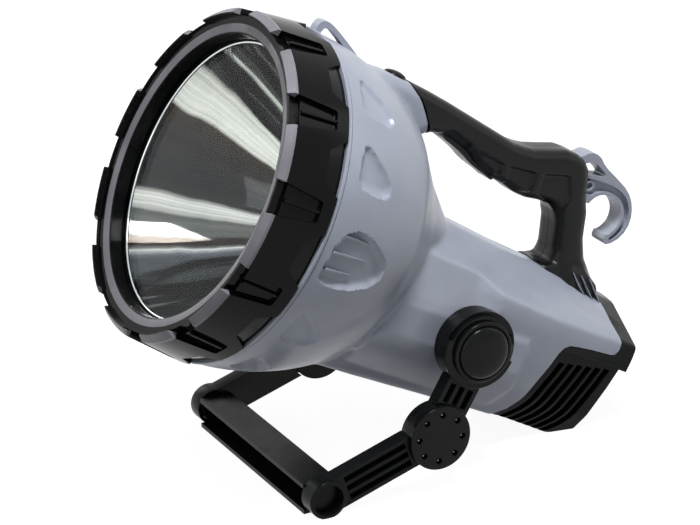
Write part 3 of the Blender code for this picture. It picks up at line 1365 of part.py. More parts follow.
def add_upper_arm(name, side):
    """Link from the pivot to the elbow: a round hub above, the inner half of the lap below."""
    low, high = sorted((side * ARM_INNER, side * ARM_FACE))
    arm = slab(f"upper_arm_{name}", link_outline(PIVOT, ELBOW, UPPER_ARM_HALF_WIDTH), low, high, "black_abs")
    hub = disc(f"arm_hub_{name}", side * (BOSS_FACE + GAP), side * ARM_FACE, HUB_RADIUS, PIVOT)
    elbow = disc(f"upper_elbow_{name}", side * ARM_INNER, side * ARM_FACE, ELBOW_RADIUS, ELBOW)
    fuse(arm, hub, elbow)
    lap = disc(
        f"upper_lap_{name}", side * (LAP - GAP / 2), side * (ARM_FACE + OVERRUN), ELBOW_RADIUS + RUNNING_GAP, ELBOW
    )
    carve(arm, lap)
    carve(arm, hub_hole(f"arm_bolt_hole_{name}", side))
    carve(arm, disc(f"upper_pin_hole_{name}", side * (ARM_INNER - OVERRUN), side * (ARM_FACE + OVERRUN),
                    ELBOW_PIN_RADIUS + GAP, ELBOW, steps=SMALL_STEPS))
    trims = (HUB_RADIUS + OVERRUN / 2, ELBOW_RADIUS + OVERRUN)
    carve(arm, arm_slots(f"upper_slots_{name}", PIVOT, ELBOW, *trims, side))
    use_manifold_solver(arm)
    hinge_at(arm, PIVOT)


def add_elbow(name, side):
    """Pin through the lap and the dimpled disc that caps it."""
    inner = ARM_INNER - GAP - ELBOW_PIN_HEAD
    disc_face = ARM_FACE + GAP
    pin_end = disc_face + ELBOW_DISC / 2
    pin = [
        (inner, 0), (inner, ELBOW_PIN_FLANGE), (inner + ELBOW_PIN_HEAD, ELBOW_PIN_FLANGE),
        (inner + ELBOW_PIN_HEAD, ELBOW_PIN_RADIUS), (pin_end, ELBOW_PIN_RADIUS), (pin_end, 0),
    ]
    turned(f"elbow_pin_{name}", mirrored(pin, side), SMALL_STEPS, "steel", "Y", ELBOW, closed=False)
    outer = disc_face + ELBOW_DISC
    cap = disc(f"elbow_disc_{name}", side * disc_face, side * outer, ELBOW_RADIUS, ELBOW, material="black_abs")
    carve(cap, disc(f"disc_well_{name}", side * (disc_face - OVERRUN), side * (pin_end + GAP),
                    ELBOW_PIN_RADIUS + GAP, ELBOW, steps=SMALL_STEPS))
    dimples = bmesh.new()
    for index in range(ELBOW_DIMPLES):
        angle = 2 * math.pi * (index + 0.5) / ELBOW_DIMPLES
        centre = ELBOW + ELBOW_DIMPLE_RING * Vector((math.cos(angle), 0, math.sin(angle)))
        centre.y = side * outer
        made = bmesh.ops.create_icosphere(dimples, subdivisions=1, radius=ELBOW_DIMPLE_RADIUS)["verts"]
        bmesh.ops.translate(dimples, vec=centre, verts=made)
    carve(cap, place(f"disc_dimples_{name}", dimples))


def add_lower_arm(name, side):
    """Link from the elbow, the outer half of its lap, down to the foot's round end."""
    low, high = sorted((side * ARM_INNER, side * ARM_FACE))
    arm = slab(f"lower_arm_{name}", link_outline(ELBOW, FOOT, LOWER_ARM_HALF_WIDTH), low, high, "black_abs")
    elbow = disc(f"lower_elbow_{name}", side * ARM_INNER, side * ARM_FACE, ELBOW_RADIUS, ELBOW)
    end = disc(f"foot_end_{name}", side * (ARM_INNER - GAP), side * (ARM_FACE + FOOT_PROUD), FOOT_RADIUS, FOOT)
    fuse(arm, elbow, end)
    carve(arm, disc(f"lower_lap_{name}", side * (ARM_INNER - OVERRUN), side * (LAP + GAP / 2),
                    ELBOW_RADIUS + RUNNING_GAP, ELBOW))
    reach = (side * (ARM_INNER - OVERRUN), side * (ARM_FACE + 2 * OVERRUN))
    carve(arm, disc(f"lower_pin_hole_{name}", *reach, ELBOW_PIN_RADIUS + GAP, ELBOW, steps=SMALL_STEPS))
    trims = (ELBOW_RADIUS + OVERRUN, FOOT_RADIUS + OVERRUN)
    carve(arm, arm_slots(f"lower_slots_{name}", ELBOW, FOOT, *trims, side))
    carve(arm, disc(f"foot_bore_{name}", *reach, FOOT_BORE_RADIUS, FOOT))
    carve(arm, ground_tool())
    use_manifold_solver(arm)
    hinge_at(arm, ELBOW)


def add_foot_bar():
    """Channel bar, level on the ground, with a plug at each end in the arms' bores."""
    pitch = ground_pitch()
    bottom = FOOT_FLAT - FOOT_RADIUS
    half = BAR_WIDTH / 2
    section = [
        (-half, bottom), (half, bottom), (half, bottom + BAR_WALL), (-half + BAR_WALL, bottom + BAR_WALL),
        (-half + BAR_WALL, bottom + BAR_HEIGHT - BAR_WALL), (half, bottom + BAR_HEIGHT - BAR_WALL),
        (half, bottom + BAR_HEIGHT), (-half, bottom + BAR_HEIGHT),
    ]
    level = Matrix.Rotation(-pitch, 2)
    outline = [tuple(Vector((FOOT.x, FOOT.z)) + level @ Vector(point)) for point in section]
    end = ARM_INNER - 2 * GAP
    bar = slab("foot_bar", outline, -end, end, "black_abs")
    for name, side in SIDES:
        tip = side * (ARM_INNER + FOOT_PLUG_LENGTH)
        fuse(bar, disc(f"foot_plug_{name}", side * (end - 2 * WALL), tip, FOOT_BORE_RADIUS - GAP, FOOT))
    hinge_at(bar, ELBOW)


def add_stand():
    for name, side in SIDES:
        add_pivot(name, side)
        add_upper_arm(name, side)
        add_elbow(name, side)
        add_lower_arm(name, side)
    add_foot_bar()


def build():
    clear_scene()
    add_frame()
    add_bezel()
    add_lens()
    add_reflector()
    add_bulb()
    add_casing()
    add_button()
    add_strap_loop()
    add_grips()
    add_trigger()
    add_hook()
    add_tail()
    add_charging()
    add_battery()
    add_leads()
    add_stand()


build()
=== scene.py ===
import math

import bmesh
import bpy
import numpy as np
from mathutils import Matrix, Vector


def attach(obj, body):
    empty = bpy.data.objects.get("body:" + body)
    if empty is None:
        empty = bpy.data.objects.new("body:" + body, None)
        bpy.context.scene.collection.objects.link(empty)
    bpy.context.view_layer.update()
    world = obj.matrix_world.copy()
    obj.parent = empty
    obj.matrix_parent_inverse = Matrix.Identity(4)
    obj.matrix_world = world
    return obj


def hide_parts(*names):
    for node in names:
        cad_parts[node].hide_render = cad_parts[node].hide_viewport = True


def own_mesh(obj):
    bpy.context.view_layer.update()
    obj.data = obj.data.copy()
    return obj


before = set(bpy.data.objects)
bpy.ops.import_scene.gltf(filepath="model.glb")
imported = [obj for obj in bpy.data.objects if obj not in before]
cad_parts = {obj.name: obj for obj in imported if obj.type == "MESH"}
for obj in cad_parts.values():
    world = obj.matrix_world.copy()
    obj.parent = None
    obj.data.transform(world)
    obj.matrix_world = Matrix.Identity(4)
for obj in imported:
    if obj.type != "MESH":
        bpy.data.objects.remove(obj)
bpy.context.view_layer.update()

# Handheld searchlight with a folding stand. Pieces are drawn in the beam's own frame, X forward
# along the beam from the back of the bezel ring, Y to the left and Z up, and then moved by BEAM.
BEAM_PITCH = math.radians(28.733572544017463)
BEAM = Matrix.Translation((0.0111351, 0, 0.1951381)) @ Matrix.Rotation(-BEAM_PITCH, 4, "Y")
MM = 0.001
# Points closer than this are one point
MERGE = 1e-6
SIDES = (("left", 1), ("right", -1))


# Colours and nodes

def srgb(code):
    """Linear colour from an sRGB hex value."""
    parts = [int(code[i:i + 2], 16) / 255 for i in (1, 3, 5)]
    return tuple(p / 12.92 if p <= 0.04045 else ((p + 0.055) / 1.055) ** 2.4 for p in parts) + (1,)


def add(tree, kind, settings=None, stops=(), **links):
    """A node with its settings, a ramp's stops, and its sockets set to a value or linked from a node."""
    node = tree.nodes.new("ShaderNode" + kind)
    for key, value in (settings or {}).items():
        setattr(node, key, value)
    for index, (place, colour) in enumerate(stops):
        if index == len(node.color_ramp.elements):
            node.color_ramp.elements.new(1)
        node.color_ramp.elements[index].position = place
        node.color_ramp.elements[index].color = colour
    for name, value in links.items():
        socket = node.inputs[int(name[1:])] if name[1:].isdigit() else node.inputs[name.replace("_", " ")]
        if isinstance(value, bpy.types.NodeSocket):
            tree.links.new(value, socket)
        else:
            socket.default_value = value
    return node


def start(name, **plain):
    """A new material: its tree, its shader with plain values set, and Object coordinates."""
    material = bpy.data.materials.new(name)
    material.use_nodes = True
    tree = material.node_tree
    shader = tree.nodes["Principled BSDF"]
    for key, value in plain.items():
        shader.inputs[key.replace("_", " ")].default_value = value
    coordinates = add(tree, "TexCoord").outputs["Object"]
    return material, tree, shader, coordinates


def moulded(name, dark, light, rough, grain_mm, grain_depth_mm, tone_mm=45, **plain):
    """A moulded plastic or rubber: a broad drift of tone, fine texture from the mould, worn gloss."""
    material, tree, shader, at = start(name, **plain)
    tone = add(tree, "TexNoise", Vector=at, Scale=1000 / tone_mm, Detail=3.0).outputs["Fac"]
    colour = add(tree, "ValToRGB", stops=((0.35, srgb(dark)), (0.68, srgb(light))), Fac=tone)
    tree.links.new(colour.outputs["Color"], shader.inputs["Base Color"])
    gloss = add(tree, "TexNoise", Vector=at, Scale=1000 / (tone_mm / 3), Detail=4.0).outputs["Fac"]
    low, high = rough
    worn = add(tree, "MapRange", Value=gloss, From_Min=0.35, From_Max=0.65, To_Min=low, To_Max=high)
    tree.links.new(worn.outputs["Result"], shader.inputs["Roughness"])
    grain = add(tree, "TexNoise", Vector=at, Scale=1000 / grain_mm, Detail=2.0).outputs["Fac"]
    bump = add(tree, "Bump", Strength=0.5, Distance=grain_depth_mm * MM, Height=grain)
    tree.links.new(bump.outputs["Normal"], shader.inputs["Normal"])
    return material


def metal(name, dark, light, rough, brushed_mm):
    """A bare metal with fine drawing marks."""
    material, tree, shader, at = start(name, Metallic=1.0)
    streaks = add(tree, "Mapping", Vector=at, Scale=(1, 0.12, 1)).outputs["Vector"]
    marks = add(tree, "TexNoise", Vector=streaks, Scale=1000 / brushed_mm, Detail=3.0).outputs["Fac"]
    colour = add(tree, "ValToRGB", stops=((0.3, srgb(dark)), (0.7, srgb(light))), Fac=marks)
    tree.links.new(colour.outputs["Color"], shader.inputs["Base Color"])
    low, high = rough
    worn = add(tree, "MapRange", Value=marks, From_Min=0.3, From_Max=0.7, To_Min=low, To_Max=high)
    tree.links.new(worn.outputs["Result"], shader.inputs["Roughness"])
    bump = add(tree, "Bump", Strength=0.15, Distance=0.05 * MM, Height=marks)
    tree.links.new(bump.outputs["Normal"], shader.inputs["Normal"])
    return material


def clear(name, tint, ior, rough, haze_mm):
    """A clear moulding with a trace of haze in its gloss."""
    material, tree, shader, at = start(name, Transmission_Weight=1.0, IOR=ior)
    haze = add(tree, "TexNoise", Vector=at, Scale=1000 / haze_mm, Detail=3.0).outputs["Fac"]
    colour = add(tree, "ValToRGB", stops=((0.3, srgb(tint)), (0.7, srgb("#ffffff"))), Fac=haze)
    tree.links.new(colour.outputs["Color"], shader.inputs["Base Color"])
    low, high = rough
    worn = add(tree, "MapRange", Value=haze, From_Min=0.3, From_Max=0.7, To_Min=low, To_Max=high)
    tree.links.new(worn.outputs["Result"], shader.inputs["Roughness"])
    return material


# Satin ABS, moulded in a textured tool: blue-grey with a soft broad highlight
grey_abs = moulded("satin grey ABS", "#9ba1b0", "#a5abba", (0.30, 0.38), 0.9, 0.02, IOR=1.52)
# Gloss ABS of the bezel ring: nearly black with a clean sharp highlight and a slight orange peel
gloss_abs = moulded(
    "gloss black ABS", "#08090a", "#0b0c0d", (0.10, 0.18), 4.0, 0.02, IOR=1.50, Specular_IOR_Level=0.11
)
# Black ABS of the stand and the tail: spark-eroded texture that scatters the highlight
black_abs = moulded(
    "textured black ABS", "#0d0f10", "#131516", (0.24, 0.34), 0.9, 0.03, IOR=1.50, Specular_IOR_Level=0.10
)
# Semi-gloss nylon of the hubs and knobs: rubbed smooth, so that each ridge draws a thin bright arc
black_nylon = moulded(
    "semi-gloss black nylon", "#0d0e0f", "#121415", (0.10, 0.17), 3.0, 0.01, IOR=1.50, Specular_IOR_Level=0.13
)
# Soft-touch rubber over the grip: dull black with a wide faint sheen
grip_rubber = moulded(
    "soft-touch rubber", "#0b0c0d", "#101112", (0.27, 0.36), 1.0, 0.03, IOR=1.50, Specular_IOR_Level=0.20
)
seal_rubber = moulded(
    "silicone rubber", "#0e0f10", "#141516", (0.50, 0.60), 1.2, 0.04, Specular_IOR_Level=0.2
)
phenolic = moulded("phenolic moulding", "#3a2c20", "#463526", (0.40, 0.50), 0.8, 0.03)
battery_case = moulded("polypropylene case", "#2b3036", "#343a41", (0.45, 0.55), 1.5, 0.05)
circuit_green = moulded("solder mask on laminate", "#0f4a26", "#16592f", (0.25, 0.35), 1.2, 0.02)
red_pvc = moulded("red PVC", "#a31d1d", "#b42a24", (0.35, 0.45), 1.5, 0.03)
black_pvc = moulded("black PVC", "#1b1b1c", "#232324", (0.35, 0.45), 1.5, 0.03)
steel = metal("zinc-plated steel", "#a9abae", "#c9cbcd", (0.25, 0.38), 0.8)
# Rolled edge of the bowl: polished, so that it draws a bright line inside the lens
bright_edge = metal("polished aluminium edge", "#e9ebed", "#f7f8f9", (0.10, 0.18), 2.5)
brass = metal("drawn brass", "#b08d4c", "#c9a665", (0.25, 0.38), 0.8)
# Lens with an anti-glare coat: its low index keeps a veil off the painted dark reflection fans in the bowl
# behind
polycarbonate = clear("coated clear polycarbonate", "#f2f6f7", 1.13, (0.0, 0.02), 60)
quartz = clear("fused quartz", "#f6f8f9", 1.46, (0.0, 0.03), 5)


# Painted reflections in the bowl: light and dark fans of the studio it mirrors, as shares of a turn from the
# right-hand side downward
painted_reflection_fans = (
    (0.000, "#353738"), (0.030, "#2f3132"), (0.052, "#373939"), (0.058, "#e4e7e1"), (0.074, "#dfe2dc"),
    (0.082, "#707471"), (0.108, "#696d6a"), (0.114, "#35302c"), (0.128, "#322e2b"), (0.133, "#dde1e0"),
    (0.141, "#5f666c"), (0.200, "#3b4045"), (0.250, "#5c6368"), (0.330, "#787d80"), (0.450, "#d6d9d6"),
    (0.530, "#3a3d3f"), (0.620, "#dadcd8"), (0.670, "#35383a"), (0.795, "#383c3e"), (0.801, "#d9dcd8"),
    (0.807, "#383b3d"), (0.817, "#2e3234"), (0.822, "#dcdfda"), (0.839, "#d7dad5"), (0.845, "#393b3c"),
    (0.884, "#313335"), (0.893, "#d9dcd3"), (0.943, "#e0e3da"), (0.949, "#3b352e"), (0.975, "#353534"),
)


def beam_place(tree, at):
    """Where a point lies in the beam's frame, as outputs X, Y and Z."""
    back = add(tree, "Mapping", Vector=at, Location=BEAM.inverted().translation, Rotation=(0, BEAM_PITCH, 0))
    return add(tree, "SeparateXYZ", Vector=back.outputs["Vector"]).outputs


def painted_reflection_finish():
    """Vacuum-deposited aluminium: a mirror whose colour carries painted reflections, light and dark fans
    broken by fine streaks round the bulb.
    """
    material, tree, shader, at = start("vacuum-aluminised bowl with painted reflections", Metallic=1.0)
    place = beam_place(tree, at)
    turn = add(tree, "Math", {"operation": "ARCTAN2"}, _0=place["Z"], _1=place["Y"])
    drift = add(tree, "TexNoise", Vector=at, Scale=1000 / 38, Detail=2.0).outputs["Fac"]
    bend = add(tree, "MapRange", Value=drift, From_Min=0.3, From_Max=0.7, To_Min=-0.02, To_Max=0.02)
    bent = add(tree, "Math", {"operation": "ADD"}, _0=turn.outputs[0], _1=bend.outputs["Result"])
    share = add(tree, "MapRange", Value=bent.outputs[0], From_Min=-math.pi, From_Max=math.pi)
    # Painted reflection: light and dark fans in the base colour, with fine streaks through them
    fans = add(tree, "ValToRGB", stops=[(s, srgb(c)) for s, c in painted_reflection_fans], Fac=share.outputs["Result"])
    marks = add(tree, "TexNoise", {"noise_dimensions": "1D"}, W=bent.outputs[0], Scale=22.0, Detail=3.0)
    lines = marks.outputs["Fac"]
    fade = add(tree, "MapRange", Value=lines, From_Min=0.35, From_Max=0.65, To_Min=0.78, To_Max=1.06)
    tone = add(
        tree, "VectorMath", {"operation": "SCALE"}, Vector=fans.outputs["Color"], Scale=fade.outputs["Result"]
    )
    tree.links.new(tone.outputs["Vector"], shader.inputs["Base Color"])
    worn = add(tree, "MapRange", Value=drift, From_Min=0.3, From_Max=0.7, To_Min=0.03, To_Max=0.08)
    tree.links.new(worn.outputs["Result"], shader.inputs["Roughness"])
    return material


aluminised = painted_reflection_finish()


# Satin parts of the bezel ring, ahead of a plane across the beam: the land round the lens, and the bevels,
# which also carry a painted grey highlight
LAND_RADIUS = 0.0975
LAND_HALF_WIDTH = 0.0029
BEVEL_RADIUS = 0.1066
SATIN_AND_PAINTED_HIGHLIGHT_FROM = 0.0366


def bezel_highlight_finish():
    """Gloss black ABS whose front bevels and land round the lens are satin and painted grey as a highlight.
    """
    material, tree, shader, at = start("gloss black ABS with satin bevels and painted highlights", IOR=1.50)
    place = beam_place(tree, at)
    flat = add(tree, "CombineXYZ", Y=place["Y"], Z=place["Z"])
    radius = add(tree, "VectorMath", {"operation": "LENGTH"}, Vector=flat.outputs["Vector"]).outputs["Value"]
    land = add(tree, "Math", {"operation": "COMPARE"}, _0=radius, _1=LAND_RADIUS, _2=LAND_HALF_WIDTH)
    bevel = add(tree, "Math", {"operation": "GREATER_THAN"}, _0=radius, _1=BEVEL_RADIUS)
    both = add(tree, "Math", {"operation": "ADD"}, _0=land.outputs[0], _1=bevel.outputs[0])
    ahead = add(tree, "Math", {"operation": "GREATER_THAN"}, _0=place["X"], _1=SATIN_AND_PAINTED_HIGHLIGHT_FROM)
    satin = add(tree, "Math", {"operation": "MULTIPLY"}, _0=both.outputs[0], _1=ahead.outputs[0]).outputs[0]
    drift = add(tree, "TexNoise", Vector=at, Scale=1000 / 30, Detail=3.0).outputs["Fac"]
    black = add(tree, "ValToRGB", stops=((0.35, srgb("#08090a")), (0.68, srgb("#0b0c0d"))), Fac=drift)
    # Painted highlight: grey base colour on the satin bevels and land, for the light they catch
    grey = add(tree, "ValToRGB", stops=((0.35, srgb("#77757d")), (0.68, srgb("#8b8991"))), Fac=drift)
    colour = add(tree, "MixRGB", _0=satin, _1=black.outputs["Color"], _2=grey.outputs["Color"])
    tree.links.new(colour.outputs["Color"], shader.inputs["Base Color"])
    gloss = add(tree, "MapRange", Value=drift, From_Min=0.35, From_Max=0.65, To_Min=0.10, To_Max=0.18)
    worn = add(tree, "MapRange", Value=satin, To_Min=gloss.outputs["Result"], To_Max=0.40)
    tree.links.new(worn.outputs["Result"], shader.inputs["Roughness"])
    shine = add(tree, "MapRange", Value=satin, To_Min=0.11, To_Max=0.30)
    tree.links.new(shine.outputs["Result"], shader.inputs["Specular IOR Level"])
    return material


bezel_abs_painted_highlight = bezel_highlight_finish()

# What each of the record's finishes looks like
FINISHES = {
    "grey_abs": grey_abs,
    "black_abs": black_abs,
    "gloss_black_abs": gloss_abs,
    "soft_black_rubber": grip_rubber,
    "clear_polycarbonate": polycarbonate,
    "aluminised": aluminised,
    "quartz": quartz,
    "steel": steel,
    "brass": brass,
    "silicone": seal_rubber,
    "phenolic": phenolic,
    "battery_block": battery_case,
    "circuit_green": circuit_green,
    "red_pvc": red_pvc,
    "black_pvc": black_pvc,
}


# Camera, lights and backdrop

# Strength of the floor's own white where it is seen, and of the world where it lights
FLOOR_GLOW = 0.93
WORLD_LIGHT = 0.11


def look_along(obj, position, forward, up):
    """Sets an object at a place, its -Z along forward and its Y nearest to up."""
    back = -Vector(forward).normalized()
    right = Vector(up).cross(back).normalized()
    turn = Matrix((right, back.cross(right), back)).transposed().to_4x4()
    obj.matrix_world = Matrix.Translation(position) @ turn


def add_camera():
    """The photograph's view."""
    place = (0.7504, 1.6092, 0.8320)
    forward = (-0.42179, -0.8313, -0.36205)
    up = (-0.18767, -0.3107, 0.93182)
    data = bpy.data.cameras.new("camera")
    data.lens = 151.52
    data.sensor_width = 36
    camera = bpy.data.objects.new("camera", data)
    bpy.context.scene.collection.objects.link(camera)
    look_along(camera, place, forward, up)
    bpy.context.scene.camera = camera


def add_softbox(name, place, aim, size, power):
    """A soft rectangular lamp that faces what it is aimed at."""
    data = bpy.data.lights.new(name, "AREA")
    data.shape = "RECTANGLE"
    data.size, data.size_y = size
    data.energy = power
    lamp = bpy.data.objects.new(name, data)
    bpy.context.scene.collection.objects.link(lamp)
    look_along(lamp, place, Vector(aim) - Vector(place), (0, 0, 1))


def ray_shows(tree):
    """1 on rays that show the backdrop, straight or by way of metal and glass, and 0 on rays that light."""
    path = add(tree, "LightPath").outputs
    seen = add(tree, "Math", {"operation": "MAXIMUM"}, _0=path["Is Camera Ray"], _1=path["Is Glossy Ray"])
    seen = add(tree, "Math", {"operation": "MAXIMUM"}, _0=seen.outputs[0], _1=path["Is Transmission Ray"])
    return seen.outputs[0]


def add_backdrop():
    """Floor and world that are white where they are seen and soft where they light."""
    bm = bmesh.new()
    bmesh.ops.create_grid(bm, x_segments=1, y_segments=1, size=3)
    mesh = bpy.data.meshes.new("floor")
    bm.to_mesh(mesh)
    bm.free()
    floor = bpy.data.objects.new("floor", mesh)
    bpy.context.scene.collection.objects.link(floor)
    material, tree, shader, _ = start("pale studio floor", Roughness=0.9)
    shader.inputs["Base Color"].default_value = srgb("#8a8a8a")
    lift = add(tree, "Math", {"operation": "MULTIPLY"}, _0=ray_shows(tree), _1=FLOOR_GLOW)
    glow = add(tree, "Emission", Color=(1, 1, 1, 1), Strength=lift.outputs[0])
    both = add(tree, "AddShader", _0=shader.outputs[0], _1=glow.outputs[0])
    tree.links.new(both.outputs[0], tree.nodes["Material Output"].inputs["Surface"])
    mesh.materials.append(material)
    world = bpy.data.worlds.new("studio")
    world.use_nodes = True
    bpy.context.scene.world = world
    tree = world.node_tree
    level = add(tree, "MapRange", Value=ray_shows(tree), To_Min=WORLD_LIGHT, To_Max=1.0)
    background = tree.nodes["Background"]
    background.inputs["Color"].default_value = (1, 1, 1, 1)
    tree.links.new(level.outputs["Result"], background.inputs["Strength"])


# Making shapes

def ring(bm, points):
    """A closed loop of edges through points."""
    verts = [bm.verts.new(point) for point in points]
    return [bm.edges.new(pair) for pair in zip(verts, verts[1:] + verts[:1])]


def loft(bm, rings):
    """A closed skin over rings of points, with a face on each end."""
    loops = [ring(bm, points) for points in rings]
    for first, second in zip(loops, loops[1:]):
        bmesh.ops.bridge_loops(bm, edges=first + second)
    bmesh.ops.edgeloop_fill(bm, edges=loops[0])
    bmesh.ops.edgeloop_fill(bm, edges=loops[-1])


def revolved(name, profile, steps, closed=True, place=None):
    """A form turned round the X axis from (along, radius) points, then moved to its place."""
    bm = bmesh.new()
    points = [bm.verts.new((along, 0, radius)) for along, radius in profile]
    pairs = list(zip(points, points[1:])) + ([(points[-1], points[0])] if closed else [])
    edges = [bm.edges.new(pair) for pair in pairs]
    bmesh.ops.spin(
        bm, geom=points + edges, cent=(0, 0, 0), axis=(1, 0, 0), angle=2 * math.pi, steps=steps,
        use_merge=True,
    )
    bmesh.ops.remove_doubles(bm, verts=bm.verts, dist=MERGE)
    if place is not None:
        bmesh.ops.transform(bm, matrix=place, verts=bm.verts)
    return form(name, bm)


def prism(bm, outline, low, high):
    """An outline of (forward, up) points made solid across Y, from low to high."""
    face = bm.faces.new([bm.verts.new((forward, low, up)) for forward, up in outline])
    made = bmesh.ops.extrude_face_region(bm, geom=[face])["geom"]
    far = [part for part in made if isinstance(part, bmesh.types.BMVert)]
    bmesh.ops.translate(bm, vec=(0, high - low, 0), verts=far)


def form(name, bm):
    """An object still in the beam's frame, with its faces turned outward."""
    bmesh.ops.remove_doubles(bm, verts=bm.verts, dist=MERGE)
    bmesh.ops.recalc_face_normals(bm, faces=bm.faces)
    mesh = bpy.data.meshes.new(name)
    bm.to_mesh(mesh)
    bm.free()
    obj = bpy.data.objects.new(name, mesh)
    bpy.context.scene.collection.objects.link(obj)
    return obj


def plate(name, outline, low, high):
    """A form from an outline in the side view, solid across from low to high."""
    bm = bmesh.new()
    prism(bm, outline, low, high)
    return form(name, bm)


def settle(obj):
    """Works the object's modifiers into its mesh."""
    graph = bpy.context.evaluated_depsgraph_get()
    mesh = bpy.data.meshes.new_from_object(obj.evaluated_get(graph))
    obj.modifiers.clear()
    obj.data = mesh


def combine(obj, operation, *tools, solver="MANIFOLD", keep=False):
    """Cuts, joins or intersects with other forms, which are then gone unless they are kept."""
    for tool in tools:
        modifier = obj.modifiers.new(tool.name, "BOOLEAN")
        modifier.operation = operation
        modifier.object = tool
        modifier.solver = solver
    settle(obj)
    for tool in [] if keep else tools:
        bpy.data.objects.remove(tool)


def remesh(obj, voxel):
    """Melts a form's overlapping pieces into one skin of small squares."""
    modifier = obj.modifiers.new("skin", "REMESH")
    modifier.mode = "VOXEL"
    modifier.voxel_size = voxel
    settle(obj)


def ease(obj, rounds):
    """Smooths a mesh by so many rounds."""
    bm = bmesh.new()
    bm.from_mesh(obj.data)
    for _ in range(rounds):
        bmesh.ops.smooth_vert(
            bm, verts=bm.verts, factor=0.5, use_axis_x=True, use_axis_y=True, use_axis_z=True
        )
    bm.to_mesh(obj.data)
    bm.free()


def round_edges(obj, width, segments=3, degrees=32):
    """A small radius on every edge sharper than an angle, as a moulding has."""
    bm = bmesh.new()
    bm.from_mesh(obj.data)
    bmesh.ops.dissolve_limit(bm, angle_limit=math.radians(0.6), verts=bm.verts, edges=bm.edges)
    bm.to_mesh(obj.data)
    bm.free()
    modifier = obj.modifiers.new("edges", "BEVEL")
    modifier.width = width
    modifier.segments = segments
    modifier.limit_method = "ANGLE"
    modifier.angle_limit = math.radians(degrees)
    modifier.use_clamp_overlap = True
    modifier.miter_outer = "MITER_ARC"
    settle(obj)
    obj.data.shade_smooth()
    weights = obj.modifiers.new("normals", "WEIGHTED_NORMAL")
    weights.keep_sharp = True
    settle(obj)


def finish_piece(obj, material, body, slot, *stands_for, smooth=None):
    """Moves a form from the beam's frame to its place, paints it and hands it to the frame."""
    obj.data.transform(BEAM)
    obj.data.materials.clear()
    obj.data.materials.append(material)
    if smooth is not None:
        obj.data.shade_smooth()
        obj.data.set_sharp_from_angle(angle=math.radians(smooth))
    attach(obj, body)
    if stands_for:
        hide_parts(*stands_for)


def arc(centre, radius, start, end, steps):
    """Points on an arc, from one angle to another in degrees."""
    turns = [math.radians(start + (end - start) * step / steps) for step in range(steps + 1)]
    return [(centre[0] + radius * math.cos(turn), centre[1] + radius * math.sin(turn)) for turn in turns]


def points_of(obj):
    """The mesh's points, one row each."""
    co = np.empty(len(obj.data.vertices) * 3)
    obj.data.vertices.foreach_get("co", co)
    return co.reshape(-1, 3)


def set_points(obj, co):
    """Moves the mesh's points to the rows given."""
    obj.data.vertices.foreach_set("co", co.ravel())
    obj.data.update()


def depth_inside(across, up, outline):
    """How far each point lies inside an outline, and below zero outside it."""
    far = np.full(across.shape, 1e9)
    inside = np.zeros(across.shape, bool)
    for (x0, y0), (x1, y1) in zip(outline, outline[1:] + outline[:1]):
        dx, dy = x1 - x0, y1 - y0
        share = np.clip(((across - x0) * dx + (up - y0) * dy) / (dx * dx + dy * dy), 0, 1)
        far = np.minimum(far, np.hypot(across - x0 - share * dx, up - y0 - share * dy))
        crosses = ((y0 > up) != (y1 > up)) & (across < x0 + (up - y0) * dx / (dy if dy else 1e-12))
        inside ^= crosses
    return np.where(inside, far, -far)


def dish(depth, width):
    """From 0 at an edge to 1 a width inside it, steep at first like a bowl's wall."""
    share = np.clip(depth / width, 0, 1)
    return np.sqrt(1 - (1 - share) ** 2)


def merged(name, *pieces):
    """One form from several, which are then gone."""
    bm = bmesh.new()
    for piece in pieces:
        bm.from_mesh(piece.data)
        bpy.data.objects.remove(piece)
    return form(name, bm)


def twin(obj, name):
    """A copy with its own mesh."""
    copy = obj.copy()
    copy.data = obj.data.copy()
    copy.name = name
    bpy.context.scene.collection.objects.link(copy)
    return copy


def cube_between(low, high):
    """A box from one corner to the opposite one, as a bmesh."""
    bm = bmesh.new()
    for vert in bmesh.ops.create_cube(bm, size=1)["verts"]:
        vert.co = Vector(low[axis] if vert.co[axis] < 0 else high[axis] for axis in range(3))
    return bm


def side_room(name, side):
    """Everything on one side of the seam down the middle."""
    low, high = (SEAM, 0.4) if side > 0 else (-0.4, -SEAM)
    return form(name, cube_between((-0.5, low, -0.5), (0.5, high, 0.5)))


def ground_room(name):
    """Everything below the ground, in the beam's frame."""
    ground = form(name, cube_between((-0.5, -0.3, -0.3), (0.3, 0.3, 0)))
    ground.data.transform(BEAM.inverted())
    return ground


# Sizes shared by the pieces, in metres in the beam's frame
BOWL_RADIUS = 0.113
BOWL_LENGTH = 0.136
BODY_LENGTH = 0.298
SEAM = 0.0002
# How far a cutting prism reaches to each side of the middle
REACH = 0.2
# Walls of the bowl and the barrel round the hollow inside
BOWL_WALL = 0.0060
BARREL_WALL = 0.0035

# Barrel stations: place along the body, then crown, shoulder, keel, half width and the shoulder's share of it
barrel_stations = (
    (-0.0600, 0.0360, 0.0148, 0.0840, 0.0740, 0.840),
    (-0.1000, 0.0352, 0.0136, 0.0832, 0.0725, 0.840),
    (-0.1300, 0.0334, 0.0124, 0.0820, 0.0704, 0.840),
    (-0.1570, 0.0314, 0.0110, 0.0808, 0.0689, 0.840),
    (-0.1770, 0.0296, 0.0042, 0.0801, 0.0676, 0.975),
    (-0.1900, 0.0284, 0.0030, 0.0796, 0.0668, 0.985),
    (-0.2310, 0.0262, 0.0004, 0.0784, 0.0643, 0.985),
    (-0.2980, 0.0203, 0.0005, 0.0800, 0.0613, 0.985),
)
KEEL_HALF_WIDTH = 0.0640
TAIL_END = -0.2985
